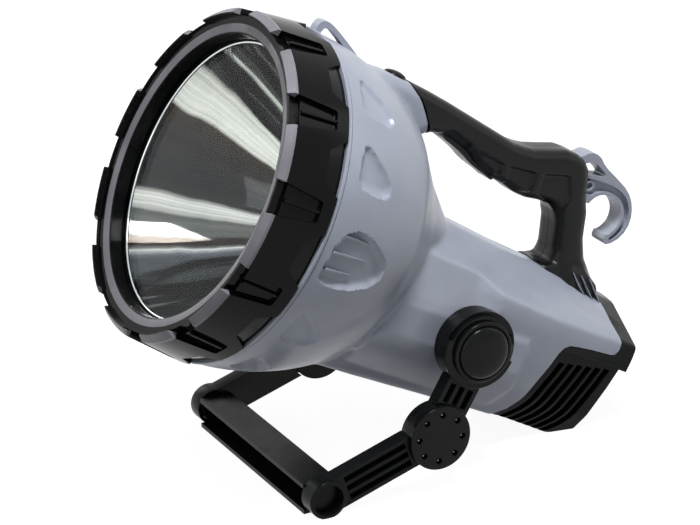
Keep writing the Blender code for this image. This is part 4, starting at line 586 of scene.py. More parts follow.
# Neck between bowl and barrel, as (along, radius)
neck_line = ((-0.0840, 0.0882), (-0.0900, 0.0822), (-0.1120, 0.0606), (-0.1500, 0.0300), (-0.1560, 0.0270))
NECK_START = 0.080
# Flat panel that carries the hub, in millimetres forward and up, and how far out it lies
hub_panel_line = [(-80, -60), (-101, -16.5), (-212, -16.5), (-216, -26), (-218, -53), (-208, -80), (-90, -80)]
HUB_PANEL_PROUD = 0.0011
# Side view of root, grip and pillar, in millimetres forward and up
handle_line = (
    (-20, 88), (-26, 104), (-61.1, 106.6), (-81.4, 106.2), (-96.5, 105.2), (-112.7, 103.4), (-130.7, 100.9),
    (-153.3, 97.8), (-172.1, 95.2), (-181.9, 95.4), (-190.1, 96.3), (-202.4, 100), (-214.6, 104),
    (-223.2, 104.2), (-231, 102), (-237, 97), (-240, 90), (-243.5, 80.4), (-250, 69.7), (-253.2, 60.6),
    (-256, 53), (-263.5, 40.7), (-270.7, 34.4), (-278, 28), (-283, 22), (-286, 5), (-226, 5), (-226, 27),
    (-238, 28.5), (-238, 38), (-234.5, 47), (-231, 56), (-226, 62.5), (-220, 65.5), (-208.8, 65.2),
    (-198.8, 63.6), (-190, 63.9), (-181.8, 66), (-167.6, 67.5), (-150, 73), (-141.8, 78), (-128.1, 81),
    (-117, 82.5), (-107, 80.5), (-95.1, 73), (-59.6, 80),
)
# Seam where the grey root meets the black grip
seam_line = [
    (-76, 110), (-80, 104), (-87, 99.6), (-93, 94), (-97.5, 88.5), (-101, 85), (-104, 80), (-110, 70),
]


def in_metres(points):
    """An outline in millimetres, in metres."""
    return [(forward * MM, up * MM) for forward, up in points]


def bowl_radius(setback):
    """The bowl's radius at a distance behind its mouth."""
    return BOWL_RADIUS * math.sqrt(max(0, 1 - (setback / BOWL_LENGTH) ** 2))


def bowl_form(name, shrink, front, steps=160):
    """The bowl with its neck, drawn in by a wall and carried forward to a front face."""
    profile = [(front, 0), (front, BOWL_RADIUS - shrink)]
    for step in range(17):
        setback = NECK_START * step / 16
        profile.append((-setback, bowl_radius(setback) - shrink))
    profile += [(forward, radius - shrink) for forward, radius in neck_line]
    profile.append((neck_line[-1][0], 0))
    return revolved(name, profile, steps, closed=False)


def barrel_form(name, shrink, end=TAIL_END):
    """The barrel: flat top slopes above a soft shoulder, sides falling to the keel.

    The plain numbers are shares of the half width, of the base's half width and of the keel's depth.
    """
    rings = []
    for forward, crown, shoulder, keel, half, share in barrel_stations:
        across = half - shrink
        base = min(half, KEEL_HALF_WIDTH) - shrink
        top = crown - shrink
        low = -keel + shrink
        slope = top - 0.0014
        mid = (0.55 * share + 0.1125) * across
        drawn_in = 0.985 - share
        left = [
            (0.25 * across, slope),
            (mid, 0.55 * shoulder + 0.45 * slope),
            (share * across, shoulder),
            ((share + 0.31 * drawn_in + 0.0075) * across, shoulder - 0.0030 - 0.045 * drawn_in),
            (across, shoulder + (0.12 + 1.7 * drawn_in) * low),
            (0.985 * across, 0.40 * low),
            (0.94 * base, 0.70 * low),
            (0.80 * base, 0.97 * low),
            (0.45 * base, low),
        ]
        outline = [(0, top)] + left + [(-a, up) for a, up in reversed(left)]
        rings.append([(forward, a, up) for a, up in outline])
    rear = rings[-1]
    rings.append([(end - 0.004, a, up) for forward, a, up in rear])
    bm = bmesh.new()
    loft(bm, rings)
    return form(name, bm)


def handle_form(name):
    """Root, grip and pillar in one, a rounded bar with nearly oval sides."""
    bm = bmesh.new()
    prism(bm, in_metres(handle_line), -0.017, 0.017)
    rims = [edge for edge in bm.edges if abs(edge.verts[0].co.y - edge.verts[1].co.y) < 1e-6]
    bmesh.ops.bevel(
        bm, geom=rims, offset=0.0088, offset_type="OFFSET", segments=5, profile=0.5, affect="EDGES",
        clamp_overlap=False, material=-1,
    )
    return form(name, bm)


def half_space(name, corners):
    """A prism across Y, used to cut along a line in the side view."""
    return plate(name, corners, -REACH, REACH)


# Hollow drops in the bowl, as (setback, along the arc) in millimetres from each one's middle line
drop_line = [
    (13, 0), (13.5, -9), (17, -13), (25, -14.5), (36, -13.5), (41, -9.5), (40, -4), (33, 4), (24, 11),
    (18, 15), (14, 13),
]
drop_degrees = (54, 28, -30, -57)
louvre_line = [
    (8.5, -15), (12, -18.5), (22, -19.5), (36, -18), (50, -13), (57, -6), (58, 0), (55, 6), (46, 12),
    (34, 17.5), (24, 19), (16, 15), (11, 6),
]
louvre_degrees = -1.5
# How deep the drops and the louvred recess go, and how wide their walls are, in millimetres
DROP_DEPTH, DROP_WALL = 4.2, 9
LOUVRE_DEPTH, LOUVRE_WALL = 4.6, 5
# Screws into the right half, forward and up in millimetres
screw_places = ((-29.8, 90.4), (-29.8, -97.2), (-139.2, 18.1), (-111.8, -74.0), (-242.9, 11.9))


def sink_hollows(obj):
    """Pushes the drops and the louvred recess into the bowl on both sides."""
    hollows = [(middle, drop_line, DROP_DEPTH, DROP_WALL) for middle in drop_degrees]
    hollows.append((louvre_degrees, louvre_line, LOUVRE_DEPTH, LOUVRE_WALL))
    co = points_of(obj)
    for side in (1, -1):
        radius = np.hypot(co[:, 1], co[:, 2])
        turn = np.degrees(np.arctan2(co[:, 2], co[:, 1] * side))
        on_bowl = (co[:, 0] < -0.001) & (co[:, 0] > -0.075) & (co[:, 1] * side > 0) & (radius > 0.08)
        for middle, outline, depth, wall in hollows:
            along = radius * np.radians(turn - middle) / MM
            inside = depth_inside(-co[:, 0] / MM, along, outline)
            push = depth * MM * dish(inside, wall) * (inside > 0) * on_bowl
            out = co / (BOWL_LENGTH**2, BOWL_RADIUS**2, BOWL_RADIUS**2)
            out /= np.linalg.norm(out, axis=1)[:, None]
            co = co - out * push[:, None]
            radius = np.hypot(co[:, 1], co[:, 2])
    set_points(obj, co)


def raise_hub_panels(obj):
    """Lifts a flat panel out of both sides of the barrel to carry the hubs."""
    co = points_of(obj)
    inside = depth_inside(co[:, 0] / MM, co[:, 2] / MM, hub_panel_line)
    share = np.clip(inside / 6, 0, 1)
    share = share * share * (3 - 2 * share) * np.clip((co[:, 2] / MM + 72) / 30, 0, 1)
    height = np.abs(co[:, 1])
    places = np.array(barrel_stations)[::-1]
    level = np.interp(co[:, 0], places[:, 0], places[:, 4]) + HUB_PANEL_PROUD
    lift = np.where(height > 0.045, np.maximum(level - height, 0) * share, 0)
    co[:, 1] += np.sign(co[:, 1]) * lift
    set_points(obj, co)


def add_louvre_ribs():
    """Three thin blades in each louvred recess, tapering to the rear."""
    bm = bmesh.new()
    for degrees, first, last in ((5.5, 13, 39), (-0.5, 11, 42), (-6.5, 11, 34)):
        for side in (1, -1):
            made = bmesh.ops.create_cube(bm, size=1)["verts"]
            for vert in made:
                rear = vert.co.x < 0
                setback = (last if rear else first) * MM
                height = -0.0056 if vert.co.y < 0 else (-0.0036 if rear else 0.0002)
                radius = bowl_radius(setback) + height
                thin = vert.co.z * (0.0010 if rear else 0.0018)
                turn = math.radians(degrees)
                vert.co = Vector((
                    -setback, side * (radius * math.cos(turn) - thin * math.sin(turn)),
                    radius * math.sin(turn) + thin * math.cos(turn),
                ))
    ribs = form("louvre_blades", bm)
    round_edges(ribs, 0.0003, 2)
    finish_piece(ribs, grey_abs, "casing", "grey_abs")


def cover_line(grow, end=-0.32):
    """Front edge of everything black at the tail, as a closed outline in the side view."""
    front = [
        (-205, -100), (-213, -80), (-219.5, -73.5), (-224.5, -68.5), (-228.5, -60), (-231, -50),
        (-236.5, -28.5), (-238.5, -20), (-241, -15.8), (-245, -13.4), (-252, -12.3), (-262, -11.3),
        (-279.5, -10.2), (-283, -8.8), (-285.2, -5.6), (-285.4, 1), (-284.4, 8), (-283.2, 16), (-282.5, 48),
    ]
    front = [
        (forward * MM + grow, up * MM + (grow if -0.28 < forward * MM < -0.24 else 0))
        for forward, up in front
    ]
    return front + [(end, 0.048), (end, -0.1)]


def add_casing():
    """Both casing halves, the collar behind the ring and the louvre blades. Returns the casing's outside."""
    skin = bowl_form("casing_skin", 0, 0.0)
    root = handle_form("handle_root")
    combine(root, "INTERSECT", half_space("root_space", in_metres(seam_line + [(0, 65), (0, 115)])))
    skin = merged("casing_skin", skin, barrel_form("barrel", 0), root)
    remesh(skin, 0.0013)
    ease(skin, 8)
    sink_hollows(skin)
    raise_hub_panels(skin)
    outer = twin(skin, "casing_outer")
    core_bowl = bowl_form("core_bowl", BOWL_WALL, 0.01, 64)
    core = merged("core", core_bowl, barrel_form("core_barrel", BARREL_WALL, TAIL_END - 0.01))
    remesh(core, 0.003)
    front = form("front", cube_between((-0.0034, -0.3, -0.3), (0.5, 0.3, 0.3)))
    combine(skin, "DIFFERENCE", core, half_space("tail_space", cover_line(0.0004)), front)
    for name, side in SIDES:
        half = side_room(f"casing_{name}", side)
        combine(half, "INTERSECT", skin, keep=True)
        for forward, up in screw_places if side < 0 else ():
            combine(half, "DIFFERENCE", disc("well", -0.13, -0.0102, 0.0034, (forward * MM, up * MM), 32))
        finish_piece(half, grey_abs, "casing", "grey_abs", f"body_shell_{name}", smooth=38)
    bpy.data.objects.remove(skin)
    collar = [
        (-0.0001, 0.1040), (-0.0001, 0.1132), (-0.0006, 0.1138), (-0.0022, 0.1138), (-0.0028, 0.1132),
        (-0.0028, 0.1118), (-0.0060, 0.1108), (-0.0060, 0.1040),
    ]
    finish_piece(revolved("casing_collar", collar, 192), grey_abs, "casing", "grey_abs", smooth=28)
    add_louvre_ribs()
    return outer


def bezel_radius(forward):
    """The ring's outer radius, which tapers to the front."""
    return 0.115 - 0.005 * forward / 0.044


def spun_wedge(outline, angle, half_angle, corners=()):
    """A tool round the beam's axis from a (forward, radius) outline, its half width an angle by place."""
    bm = bmesh.new()
    verts = [bm.verts.new((forward, 0, radius)) for forward, radius in outline]
    face = bm.faces.new(verts)
    sharp = [(outline[index], outline[(index + 1) % len(outline)]) for index in corners]
    bmesh.ops.spin(
        bm, geom=[face] + face.edges[:] + verts, cent=(0, 0, 0), axis=(1, 0, 0), angle=1.0, steps=8,
        use_merge=False,
    )
    for vert in bm.verts:
        radius = math.hypot(vert.co.y, vert.co.z)
        turn = math.atan2(vert.co.y, vert.co.z)
        share = 2 * abs(turn) - 1
        at = angle + share * half_angle(vert.co.x)
        vert.co = Vector((vert.co.x, radius * math.cos(at), radius * math.sin(at)))
    bmesh.ops.recalc_face_normals(bm, faces=bm.faces)
    if sharp:
        rim = []
        for edge in bm.edges:
            ends = sorted((round(v.co.x, 6), round(math.hypot(v.co.y, v.co.z), 6)) for v in edge.verts)
            same_turn = abs(edge.verts[0].co.normalized().cross(edge.verts[1].co.normalized()).x) < 1e-3
            for pair in sharp:
                if ends == sorted((round(a, 6), round(b, 6)) for a, b in pair) and len(edge.link_faces) == 2:
                    normals = [f.normal for f in edge.link_faces]
                    if abs(normals[0].dot(normals[1])) < 0.6:
                        rim.append(edge)
        if rim:
            bmesh.ops.bevel(
                bm, geom=rim, offset=0.0028, offset_type="OFFSET", segments=4, profile=0.5, affect="EDGES",
                clamp_overlap=True, material=-1,
            )
    return bm


def add_bezel():
    """Ring of twelve raised panels round a plain rim, a slot between each pair and a notch behind each."""
    rim_radius = 0.1053
    profile = [
        (0.0003, 0.1047), (0.0003, 0.1142), (0.0011, 0.1149), (0.0384, bezel_radius(0.0384)),
        (0.0421, 0.1072), (0.0424, 0.1064), (0.0418, 0.1058), (0.0382, rim_radius), (0.0380, 0.1006),
        (0.0364, 0.0944), (0.0356, 0.0941), (0.0293, 0.0934), (0.0280, 0.0934), (0.0280, 0.0990),
        (0.0226, 0.0990), (0.0226, 0.1047),
    ]
    bezel = revolved("bezel", profile, 240)
    slot_back, slot_end, slot_depth = 0.009, 0.0335, 0.0032
    notch_end, beyond = 0.0122, 0.118
    slot = [
        (slot_back, beyond), (slot_back, bezel_radius(slot_back) - slot_depth),
        (slot_end, bezel_radius(slot_end) - slot_depth), (slot_end, rim_radius + 0.0004),
        (0.046, rim_radius + 0.0001), (0.046, beyond),
    ]
    notch = [
        (-0.002, 0.1110), (notch_end, bezel_radius(notch_end) - 0.0005), (notch_end, beyond),
        (-0.002, beyond),
    ]

    def slot_half(forward):
        return math.radians(3.5 + 2.5 * (forward - slot_back) / 0.035)

    def notch_half(forward):
        return math.radians(9.5 - 4.5 * forward / notch_end)

    slot_angles = [math.radians(9.5 + 30 * index) for index in range(12)]
    for index, angle in enumerate(slot_angles):
        tool = form(f"slot_{index}", spun_wedge(slot, angle, slot_half, corners=(0,)))
        back = form(f"notch_{index}", spun_wedge(notch, angle + math.radians(15), notch_half))
        combine(bezel, "DIFFERENCE", tool, back, solver="EXACT")
    round_edges(bezel, 0.0006, 3, 24)
    ribs = bmesh.new()
    for angle in slot_angles:
        cos, sin = math.cos(angle), math.sin(angle)
        for vert in bmesh.ops.create_cube(ribs, size=1)["verts"]:
            forward = slot_end - 0.0002 if vert.co.x > 0 else slot_back - 0.0012
            radius = bezel_radius(forward) - (0.0042 if vert.co.y < 0 else 0.0009)
            wide = vert.co.z * (0.0030 if vert.co.y < 0 else 0.0021)
            vert.co = Vector((forward, radius * cos - wide * sin, radius * sin + wide * cos))
    ribs = form("bezel_ribs", ribs)
    round_edges(ribs, 0.0006, 3)
    finish_piece(ribs, gloss_abs, "bezel", "gloss_black_abs")
    finish_piece(bezel, bezel_abs_painted_highlight, "bezel", "gloss_black_abs", "bezel_ring")


def add_reflector():
    """Deep parabola with a rolled flange and a round collar for the bulb."""
    vertex, mouth = -0.0694, 0.0920
    focus = mouth**2 / (4 * 0.092)
    inner = []
    for step in range(33):
        radius = mouth + (0.0089 - mouth) * step / 32
        inner.append((vertex + radius**2 / (4 * focus), radius))
    outer = [(u - 0.0016, r + 0.0012) for u, r in reversed(inner)]
    rim = [(0.0206, 0.1030), (0.0226, 0.1030)]
    profile = inner + [(-0.0810, 0.0089), (-0.0810, 0.0105)] + outer[:-2] + rim
    reflector = revolved("reflector_bowl", profile, 192)
    edge = revolved("reflector_edge", arc((0.0234, 0.0925), 0.0011, 0, 315, 8), 192)
    finish_piece(edge, bright_edge, "casing", "aluminised", smooth=60)
    finish_piece(reflector, aluminised, "casing", "aluminised", "reflector", smooth=30)


def add_lens():
    """Flat clear disc with polished rounded edges."""
    back, front, radius, edge = 0.0247, 0.0277, 0.0985, 0.0006
    profile = [
        (back, 0), (back, radius - edge), (back + edge, radius),
        (front - edge, radius), (front, radius - edge), (front, 0),
    ]
    lens = revolved("lens_disc", profile, 160, closed=False)
    finish_piece(lens, polycarbonate, "bezel", "clear_polycarbonate", "lens", smooth=30)


def rounded(points, rounds=2):
    """A closed outline with its corners cut, round after round, until they look like curves."""
    for _ in range(rounds):
        pairs = zip(points, points[1:] + points[:1])
        points = [
            (a[0] * near + b[0] * (1 - near), a[1] * near + b[1] * (1 - near))
            for a, b in pairs for near in (0.75, 0.25)
        ]
    return points


def slab(name, outline, low, high):
    """A prism across Y from an outline in millimetres forward and up."""
    return plate(name, in_metres(outline), low, high)


def across_at(place):
    """What turns the X axis to run across, through a place (forward, up)."""
    return Matrix.Translation((place[0], 0, place[1])) @ Matrix.Rotation(math.pi / 2, 4, "Z")


def turned(name, profile, place, steps=72):
    """A body turned round a line along Y through a place (forward, up), from (across, radius) points."""
    return revolved(name, profile, steps, closed=False, place=across_at(place))


def disc(name, low, high, radius, place, steps=72):
    """A disc across Y."""
    return turned(name, [(low, 0), (low, radius), (high, radius), (high, 0)], place, steps)


def turned_along(name, back, front, radius, up):
    """A disc along the body, at a height."""
    profile = [(back, 0), (back, radius), (front, radius), (front, 0)]
    return revolved(name, profile, 48, closed=False, place=Matrix.Translation((0, 0, up)))


def mirrored(obj, side):
    """The form itself on the left, or its mirror image on the right."""
    if side < 0:
        obj.data.transform(Matrix.Diagonal((1, -1, 1, 1)))
        obj.data.flip_normals()
    return obj


# Black grip and pillar

finger_pads = (
    [(-146, 82), (-168, 80), (-168, 72), (-162, 68), (-146, 75)],
    [(-172, 80), (-195, 82.5), (-197, 69), (-188, 65), (-177, 66)],
    [(-200.5, 83.5), (-221, 89), (-229, 75), (-229, 63), (-222, 58), (-214, 66), (-202, 68)],
    [(-113, 82.5), (-116, 86.5), (-121, 88), (-137.5, 84.5), (-138, 79), (-120, 80)],
)
TRIGGER_PIN = (-0.411 * BODY_LENGTH, 0.0852)
trigger_slot_line = [(-114.5, 62), (-114.5, 94), (-171.9, 85), (-171.9, 55)]
# How deep the finger pads go, and how wide their walls are, in millimetres
PAD_DEPTH, PAD_WALL = 2.6, 1.8
# Foot of the pillar, in millimetres: height, front, rear, and half width at the front and at the rear
skirt_levels = (
    (46, -236, -256, 14, 15),
    (38, -239.5, -262.5, 15.5, 16.5),
    (33, -239.5, -268.5, 16.5, 18.5),
    (29.5, -238, -273, 17, 21),
    (26, -230, -279, 17.5, 22.5),
    (22, -229, -281.5, 18, 23),
    (14, -229, -283, 18, 23.5),
)


def sink_pads(obj):
    """Presses the finger pads into both sides of the grip."""
    co = points_of(obj)
    forward, across, up = co.T / MM
    push = np.zeros(len(co))
    for outline in finger_pads:
        inside = depth_inside(forward, up, outline)
        push = np.maximum(push, PAD_DEPTH * dish(inside, PAD_WALL) * (inside > 0))
    lean = np.clip((np.abs(across) - 6) / 6, 0, 1)
    co[:, 1] -= np.sign(across) * push * lean * MM
    set_points(obj, co)


def skirt_form():
    """Foot of the pillar, spreading to the rear over the barrel's top."""
    rings = []
    for up, front, rear, front_half, rear_half in skirt_levels:
        line = [
            (front, front_half - 4), (front - 4, front_half),
            (-246, front_half + 0.1 * (rear_half - front_half)), (-253, rear_half - 0.6),
            (rear + 4, rear_half - 1), (rear, rear_half - 6),
        ]
        outline = line + [(u, -a) for u, a in reversed(line)]
        rings.append([(u * MM, a * MM, up * MM) for u, a in outline])
    bm = bmesh.new()
    loft(bm, rings)
    return form("skirt", bm)


# Tips of the fingers at the pillar's foot, in millimetres forward, across and up
claw_tips = ((-266.2, 25.8, 17.3), (-273.6, 26.0, 16.6), (-281.0, 25.2, 16.4))


def add_grips(casing_outer):
    """Left and right halves of the grip and its pillar, sunk for the fingers and cut for the trigger."""
    grip = merged("grip", handle_form("grip_bar"), skirt_form())
    remesh(grip, 0.0009)
    ease(grip, 7)
    sink_pads(grip)
    ease(grip, 1)
    behind_seam = [(-69, 131)] + [(forward - 0.4, up) for forward, up in seam_line]
    behind_seam += [(-130, 34), (-130, -50), (-340, -50), (-340, 131)]
    combine(grip, "INTERSECT", half_space("grip_room", in_metres(behind_seam)))
    slot = slab("trigger_slot", trigger_slot_line, -0.0084, 0.0084)
    combine(grip, "DIFFERENCE", twin(casing_outer, "casing_room"), slot)
    for name, side in SIDES:
        half = side_room(f"grip_{name}_skin", side)
        combine(half, "INTERSECT", grip, keep=True)
        for forward, up in ((-190.7, 81), (-245.8, 45)) if side < 0 else ():
            combine(half, "DIFFERENCE", disc("well", -0.03, -0.0052, 0.0035, (forward * MM, up * MM), 32))
        finish_piece(half, grip_rubber, "casing", "soft_black_rubber", f"grip_{name}", smooth=40)
    pin = turned("trigger_pin_skin", [
        (-0.0104, 0), (-0.0104, 0.0011), (-0.0100, 0.0015), (0.0100, 0.0015), (0.0104, 0.0011), (0.0104, 0),
    ], TRIGGER_PIN, 32)
    finish_piece(pin, steel, "casing", "steel", "trigger_pin", smooth=30)
    grip.name = "grip_outer"
    return grip


def add_claws():
    """Three black fingers on each side of the pillar's foot and the thin grey blades beside them."""
    for name, side in SIDES:
        fingers = bmesh.new()
        blades = bmesh.new()
        for index, (forward, across, up) in enumerate(claw_tips):
            root = -253.5 - 7.6 * index
            plan = [(root + 3.2, 20), (root - 4.6, 20), (forward - 0.4, across), (forward + 0.4, across)]
            low = [fingers.verts.new((u * MM, side * a * MM, 0.010)) for u, a in plan]
            high = [fingers.verts.new((u * MM, side * a * MM, 0.040)) for u, a in plan]
            fingers.faces.new(low)
            fingers.faces.new(high[::-1])
            for first in range(4):
                second = (first + 1) % 4
                fingers.faces.new((low[first], low[second], high[second], high[first]))
            tip = (forward, across + 0.6, up + 0.2)
            corners = [(-252 - 7.4 * index, 22.2, 29.6), tip, (forward - 1.5, 20, 15)]
            for thick in (-0.45, 0.45):
                made = [blades.verts.new(((u + thick) * MM, side * a * MM, w * MM)) for u, a, w in corners]
                blades.faces.new(made)
            blades.verts.ensure_lookup_table()
            rear, near = list(blades.verts)[-6:-3], list(blades.verts)[-3:]
            for first in range(3):
                second = (first + 1) % 3
                blades.faces.new((rear[first], rear[second], near[second], near[first]))
        fingers = form(f"pillar_fingers_{name}", fingers)
        combine(fingers, "INTERSECT", barrel_form("finger_room", -0.0014))
        round_edges(fingers, 0.0004, 2)
        finish_piece(fingers, grip_rubber, "casing", "soft_black_rubber")
        blades = form(f"pillar_blades_{name}", blades)
        round_edges(blades, 0.0003, 2)
        finish_piece(blades, grey_abs, "casing", "grey_abs")


# Trigger, button, hook and strap loop

trigger_line = [
    (-118.6, 80.5), (-128.1, 78.3), (-138.9, 75.2), (-147.5, 71.2), (-156.5, 69), (-163.3, 67.6),
    (-169, 65.5), (-170.2, 69), (-160.3, 74.2), (-140.1, 82.5), (-126.4, 88.2), (-119.2, 88.4),
]


def add_trigger():
    """Finger lever under the grip, swinging on its pin at the front."""
    trigger = slab("trigger_lever_skin", rounded(trigger_line, 2), -0.008, 0.008)
    combine(trigger, "DIFFERENCE", disc("bore", -0.02, 0.02, 0.0018, TRIGGER_PIN, 24))
    round_edges(trigger, 0.0016, 4)
    finish_piece(trigger, grip_rubber, "trigger_lever", "gloss_black_abs", "trigger")


def add_button():
    """Round push button with a shallow dome and a fine groove round it."""
    top, radius = 0.1065, 0.0100
    profile = [(top - 0.0058, 0), (top - 0.0058, 0.0117), (top - 0.0038, 0.0117), (top - 0.0038, radius)]
    profile += [(top - 0.0006, radius), (top, radius - 0.0005)]
    profile += [(top, radius - 0.0014), (top - 0.0005, radius - 0.0018)]
    for step in range(7):
        turn = math.pi / 2 * step / 6
        profile.append((top + 0.0028 * math.sin(turn), (radius - 0.0024) * math.cos(turn)))
    upright = Matrix.Translation((-0.071, 0, 0)) @ Matrix.Rotation(-math.pi / 2, 4, "Y")
    cap = revolved("button_cap", profile, 64, closed=False, place=upright)
    finish_piece(cap, black_abs, "button", "black_abs", "lock_button", smooth=30)


hook_line = [
    (-222, 98), (-225, 101), (-230.2, 103.3), (-235.3, 108.3), (-243.6, 108.6), (-251.3, 102.9),
    (-263.9, 98.7), (-277.7, 93.2), (-285.6, 85.6), (-290.4, 74.5), (-288.7, 62.5), (-280.1, 53.2),
    (-275, 54.6), (-274.9, 60.3), (-276.4, 59.6), (-280.6, 65.1), (-281.8, 70.8), (-280.2, 77.4),
    (-276.1, 82.1), (-269.3, 85.2), (-262.5, 85.4), (-257, 83.6), (-253.2, 80), (-250.5, 74), (-232.4, 78),
]
hook_strap_line = [(-232.6, 98.6), (-240.4, 102.8), (-244.0, 102.4), (-255, 98), (-254.6, 96), (-236.3, 93.2)]
hook_web_line = [
    (-238.5, 91), (-252.2, 92.6), (-265.8, 92.6), (-275.9, 90.0), (-283.0, 84.7), (-287.8, 76),
    (-287.9, 67.2), (-282, 57.4), (-278.2, 57.4), (-282.4, 63.6), (-284.0, 70.8), (-282.1, 78.7),
    (-277.2, 84.3), (-269.7, 87.5), (-262, 87.6), (-255.6, 85.6), (-250.5, 80.6), (-243, 82),
]
hook_eye = (-0.2464, 0.0867)


def add_hook(grip_outer):
    """Hanging hook: a raised rim round a sunk web, a strap opening and an eye."""
    hook = slab("hook_skin", rounded(hook_line, 1), -0.0075, 0.0075)
    strap = slab("strap_opening", rounded(hook_strap_line, 1), -0.02, 0.02)
    webs = [
        slab(f"web_{name}", rounded(hook_web_line, 1), *sorted((side * 0.0035, side * 0.02)))
        for name, side in SIDES
    ]
    combine(hook, "DIFFERENCE", strap, *webs)
    combine(hook, "UNION", disc("eye_rim", -0.0066, 0.0066, 0.0040, hook_eye, 48))
    combine(hook, "DIFFERENCE", disc("eye", -0.02, 0.02, 0.0023, hook_eye, 40))
    round_edges(hook, 0.0006, 3, 30)
    combine(hook, "DIFFERENCE", twin(grip_outer, "grip_room"))
    finish_piece(hook, grey_abs, "casing", "grey_abs", "hook", smooth=34)


loop_line = [
    (-0.6, 104), (-0.6, 117.5), (-3, 121.4), (-9, 122.2), (-26, 114.4), (-42.9, 105.6), (-44.7, 98),
    (-18, 100),
]
loop_hole_line = [(-4.6, 106), (-4.8, 116.4), (-9.6, 118.4), (-24, 111.6), (-33, 104)]


def add_strap_loop(casing_outer):
    """Rounded eyelet on the casing behind the bezel ring."""
    loop = slab("strap_loop_skin", rounded(loop_line, 2), -0.004, 0.004)
    combine(loop, "DIFFERENCE", slab("loop_hole", rounded(loop_hole_line, 1), -0.02, 0.02))
    round_edges(loop, 0.0012, 4, 30)
    combine(loop, "DIFFERENCE", twin(casing_outer, "casing_room"))
    finish_piece(loop, grey_abs, "casing", "grey_abs", "front_strap_loop", smooth=34)


# Black tail

def cover_edge(up):
    """How far back the ribbed cover's front edge lies at a height."""
    return float(np.interp(
        up, (-100, -86, -80, -73.5, -68.5, -60, -50, -28.5, -20),
        (-205, -209, -213, -219.5, -224.5, -228.5, -231, -236.5, -238.5),
    ))


def add_tail(casing_outer):
    """Band round the tail in one with the frame of the ribbed cover, then the cover and its slots."""
    split = -0.0176
    above = [(-0.4, split + 0.00006), (0.1, split + 0.00006), (0.1, 0.2), (-0.4, 0.2)]
    band = half_space("band_skin", above)
    tail = half_space("tail", cover_line(0, TAIL_END))
    combine(band, "INTERSECT", twin(casing_outer, "outer"), tail)
    room = handle_form("pillar_room")
    combine(band, "DIFFERENCE", room, turned_along("socket_hole", -0.31, -0.278, 0.0063, 0.001))
    round_edges(band, 0.0008, 3, 34)
    finish_piece(band, black_abs, "casing", "black_abs", "rear_band", smooth=36)
    cover = barrel_form("cover_skin", 0.0006)
    remesh(cover, 0.0012)
    ease(cover, 8)
    face = half_space("tail_face", [
        (-0.2922, split + 0.0012), (-0.2922, split - 0.0001), (-0.2838, -0.0664), (-0.2818, -0.0712),
        (-0.2778, -0.0748), (-0.272, -0.0770), (-0.2207, -0.0785), (-0.2, -0.0785), (-0.15, split + 0.0012),
    ])
    combine(cover, "INTERSECT", half_space("tail", cover_line(0)), face)
    slots = []
    for index in range(6):
        shift = 5.2 + 7.3 * index
        wide = 4.8 + 0.1 * index
        top = -26.0 + 1.2 * index
        levels = [top, -40, -52, -60, -66, -72, -78, -90, -100]
        rear = [(cover_edge(level) - shift - wide, level) for level in levels]
        front = [(cover_edge(level) - shift, level) for level in reversed(levels)]
        slots.append(slab(f"slot_{index}", rear + front, -REACH, REACH))
    slots = merged("slots", *slots)
    combine(slots, "DIFFERENCE", barrel_form("slot_floor", 0.0062))
    combine(cover, "DIFFERENCE", slots, ground_room("ground"))
    round_edges(cover, 0.0005, 2, 34)
    finish_piece(cover, black_abs, "casing", "black_abs", "rear_vent_cover", smooth=36)


# Stand

PIVOT = Vector((-0.160, -0.032))
ELBOW = PIVOT + 0.062 * Vector((math.cos(math.radians(-87)), math.sin(math.radians(-87))))
FOOT = ELBOW + 0.085 * Vector((math.cos(math.radians(-46)), math.sin(math.radians(-46))))
# Arms: inner and outer face, and where they lap at the elbow, across from the middle
ARM_IN, ARM_OUT, LAP = 0.079, 0.090, 0.0845
LAP_GAP = 0.00015
UPPER_HALF, LOWER_HALF = 0.0125, 0.0115
ELBOW_RADIUS, ELBOW_ROOM = 0.0218, 0.0224
STEP_TURN, STEP_SPAN = math.radians(-90), math.radians(180)


def rounded_disc_profile(low, high, radius, edge):
    """Half section of a disc with a rounded outer rim."""
    profile = [(low, 0), (low, radius)]
    for step in range(5):
        turn = math.pi / 2 * step / 4
        profile.append((high - edge + edge * math.sin(turn), radius - edge + edge * math.cos(turn)))
    return profile + [(high, 0)]


def link_slab(name, start, end, half, low, high, first_trim=0, last_trim=0):
    """A straight bar between two centres."""
    along = (end - start).normalized()
    across = Vector((-along.y, along.x)) * half
    first = start + along * first_trim
    last = end - along * last_trim
    corners = [first - across, last - across, last + across, first + across]
    return plate(name, [tuple(corner) for corner in corners], low, high)


def arm_slot_tools(name, start, end, first_trim, last_trim, pitch):
    """Three long slots side by side, with round ends."""
    along = (end - start).normalized()
    across = Vector((-along.y, along.x))
    tools = []
    for index in (-1, 0, 1):
        shift = across * index * pitch
        trims = (first_trim, last_trim)
        low = ARM_OUT - 0.0042
        tools.append(link_slab(f"{name}_{index}", start + shift, end + shift, 0.0022, low, 0.1, *trims))
    return tools


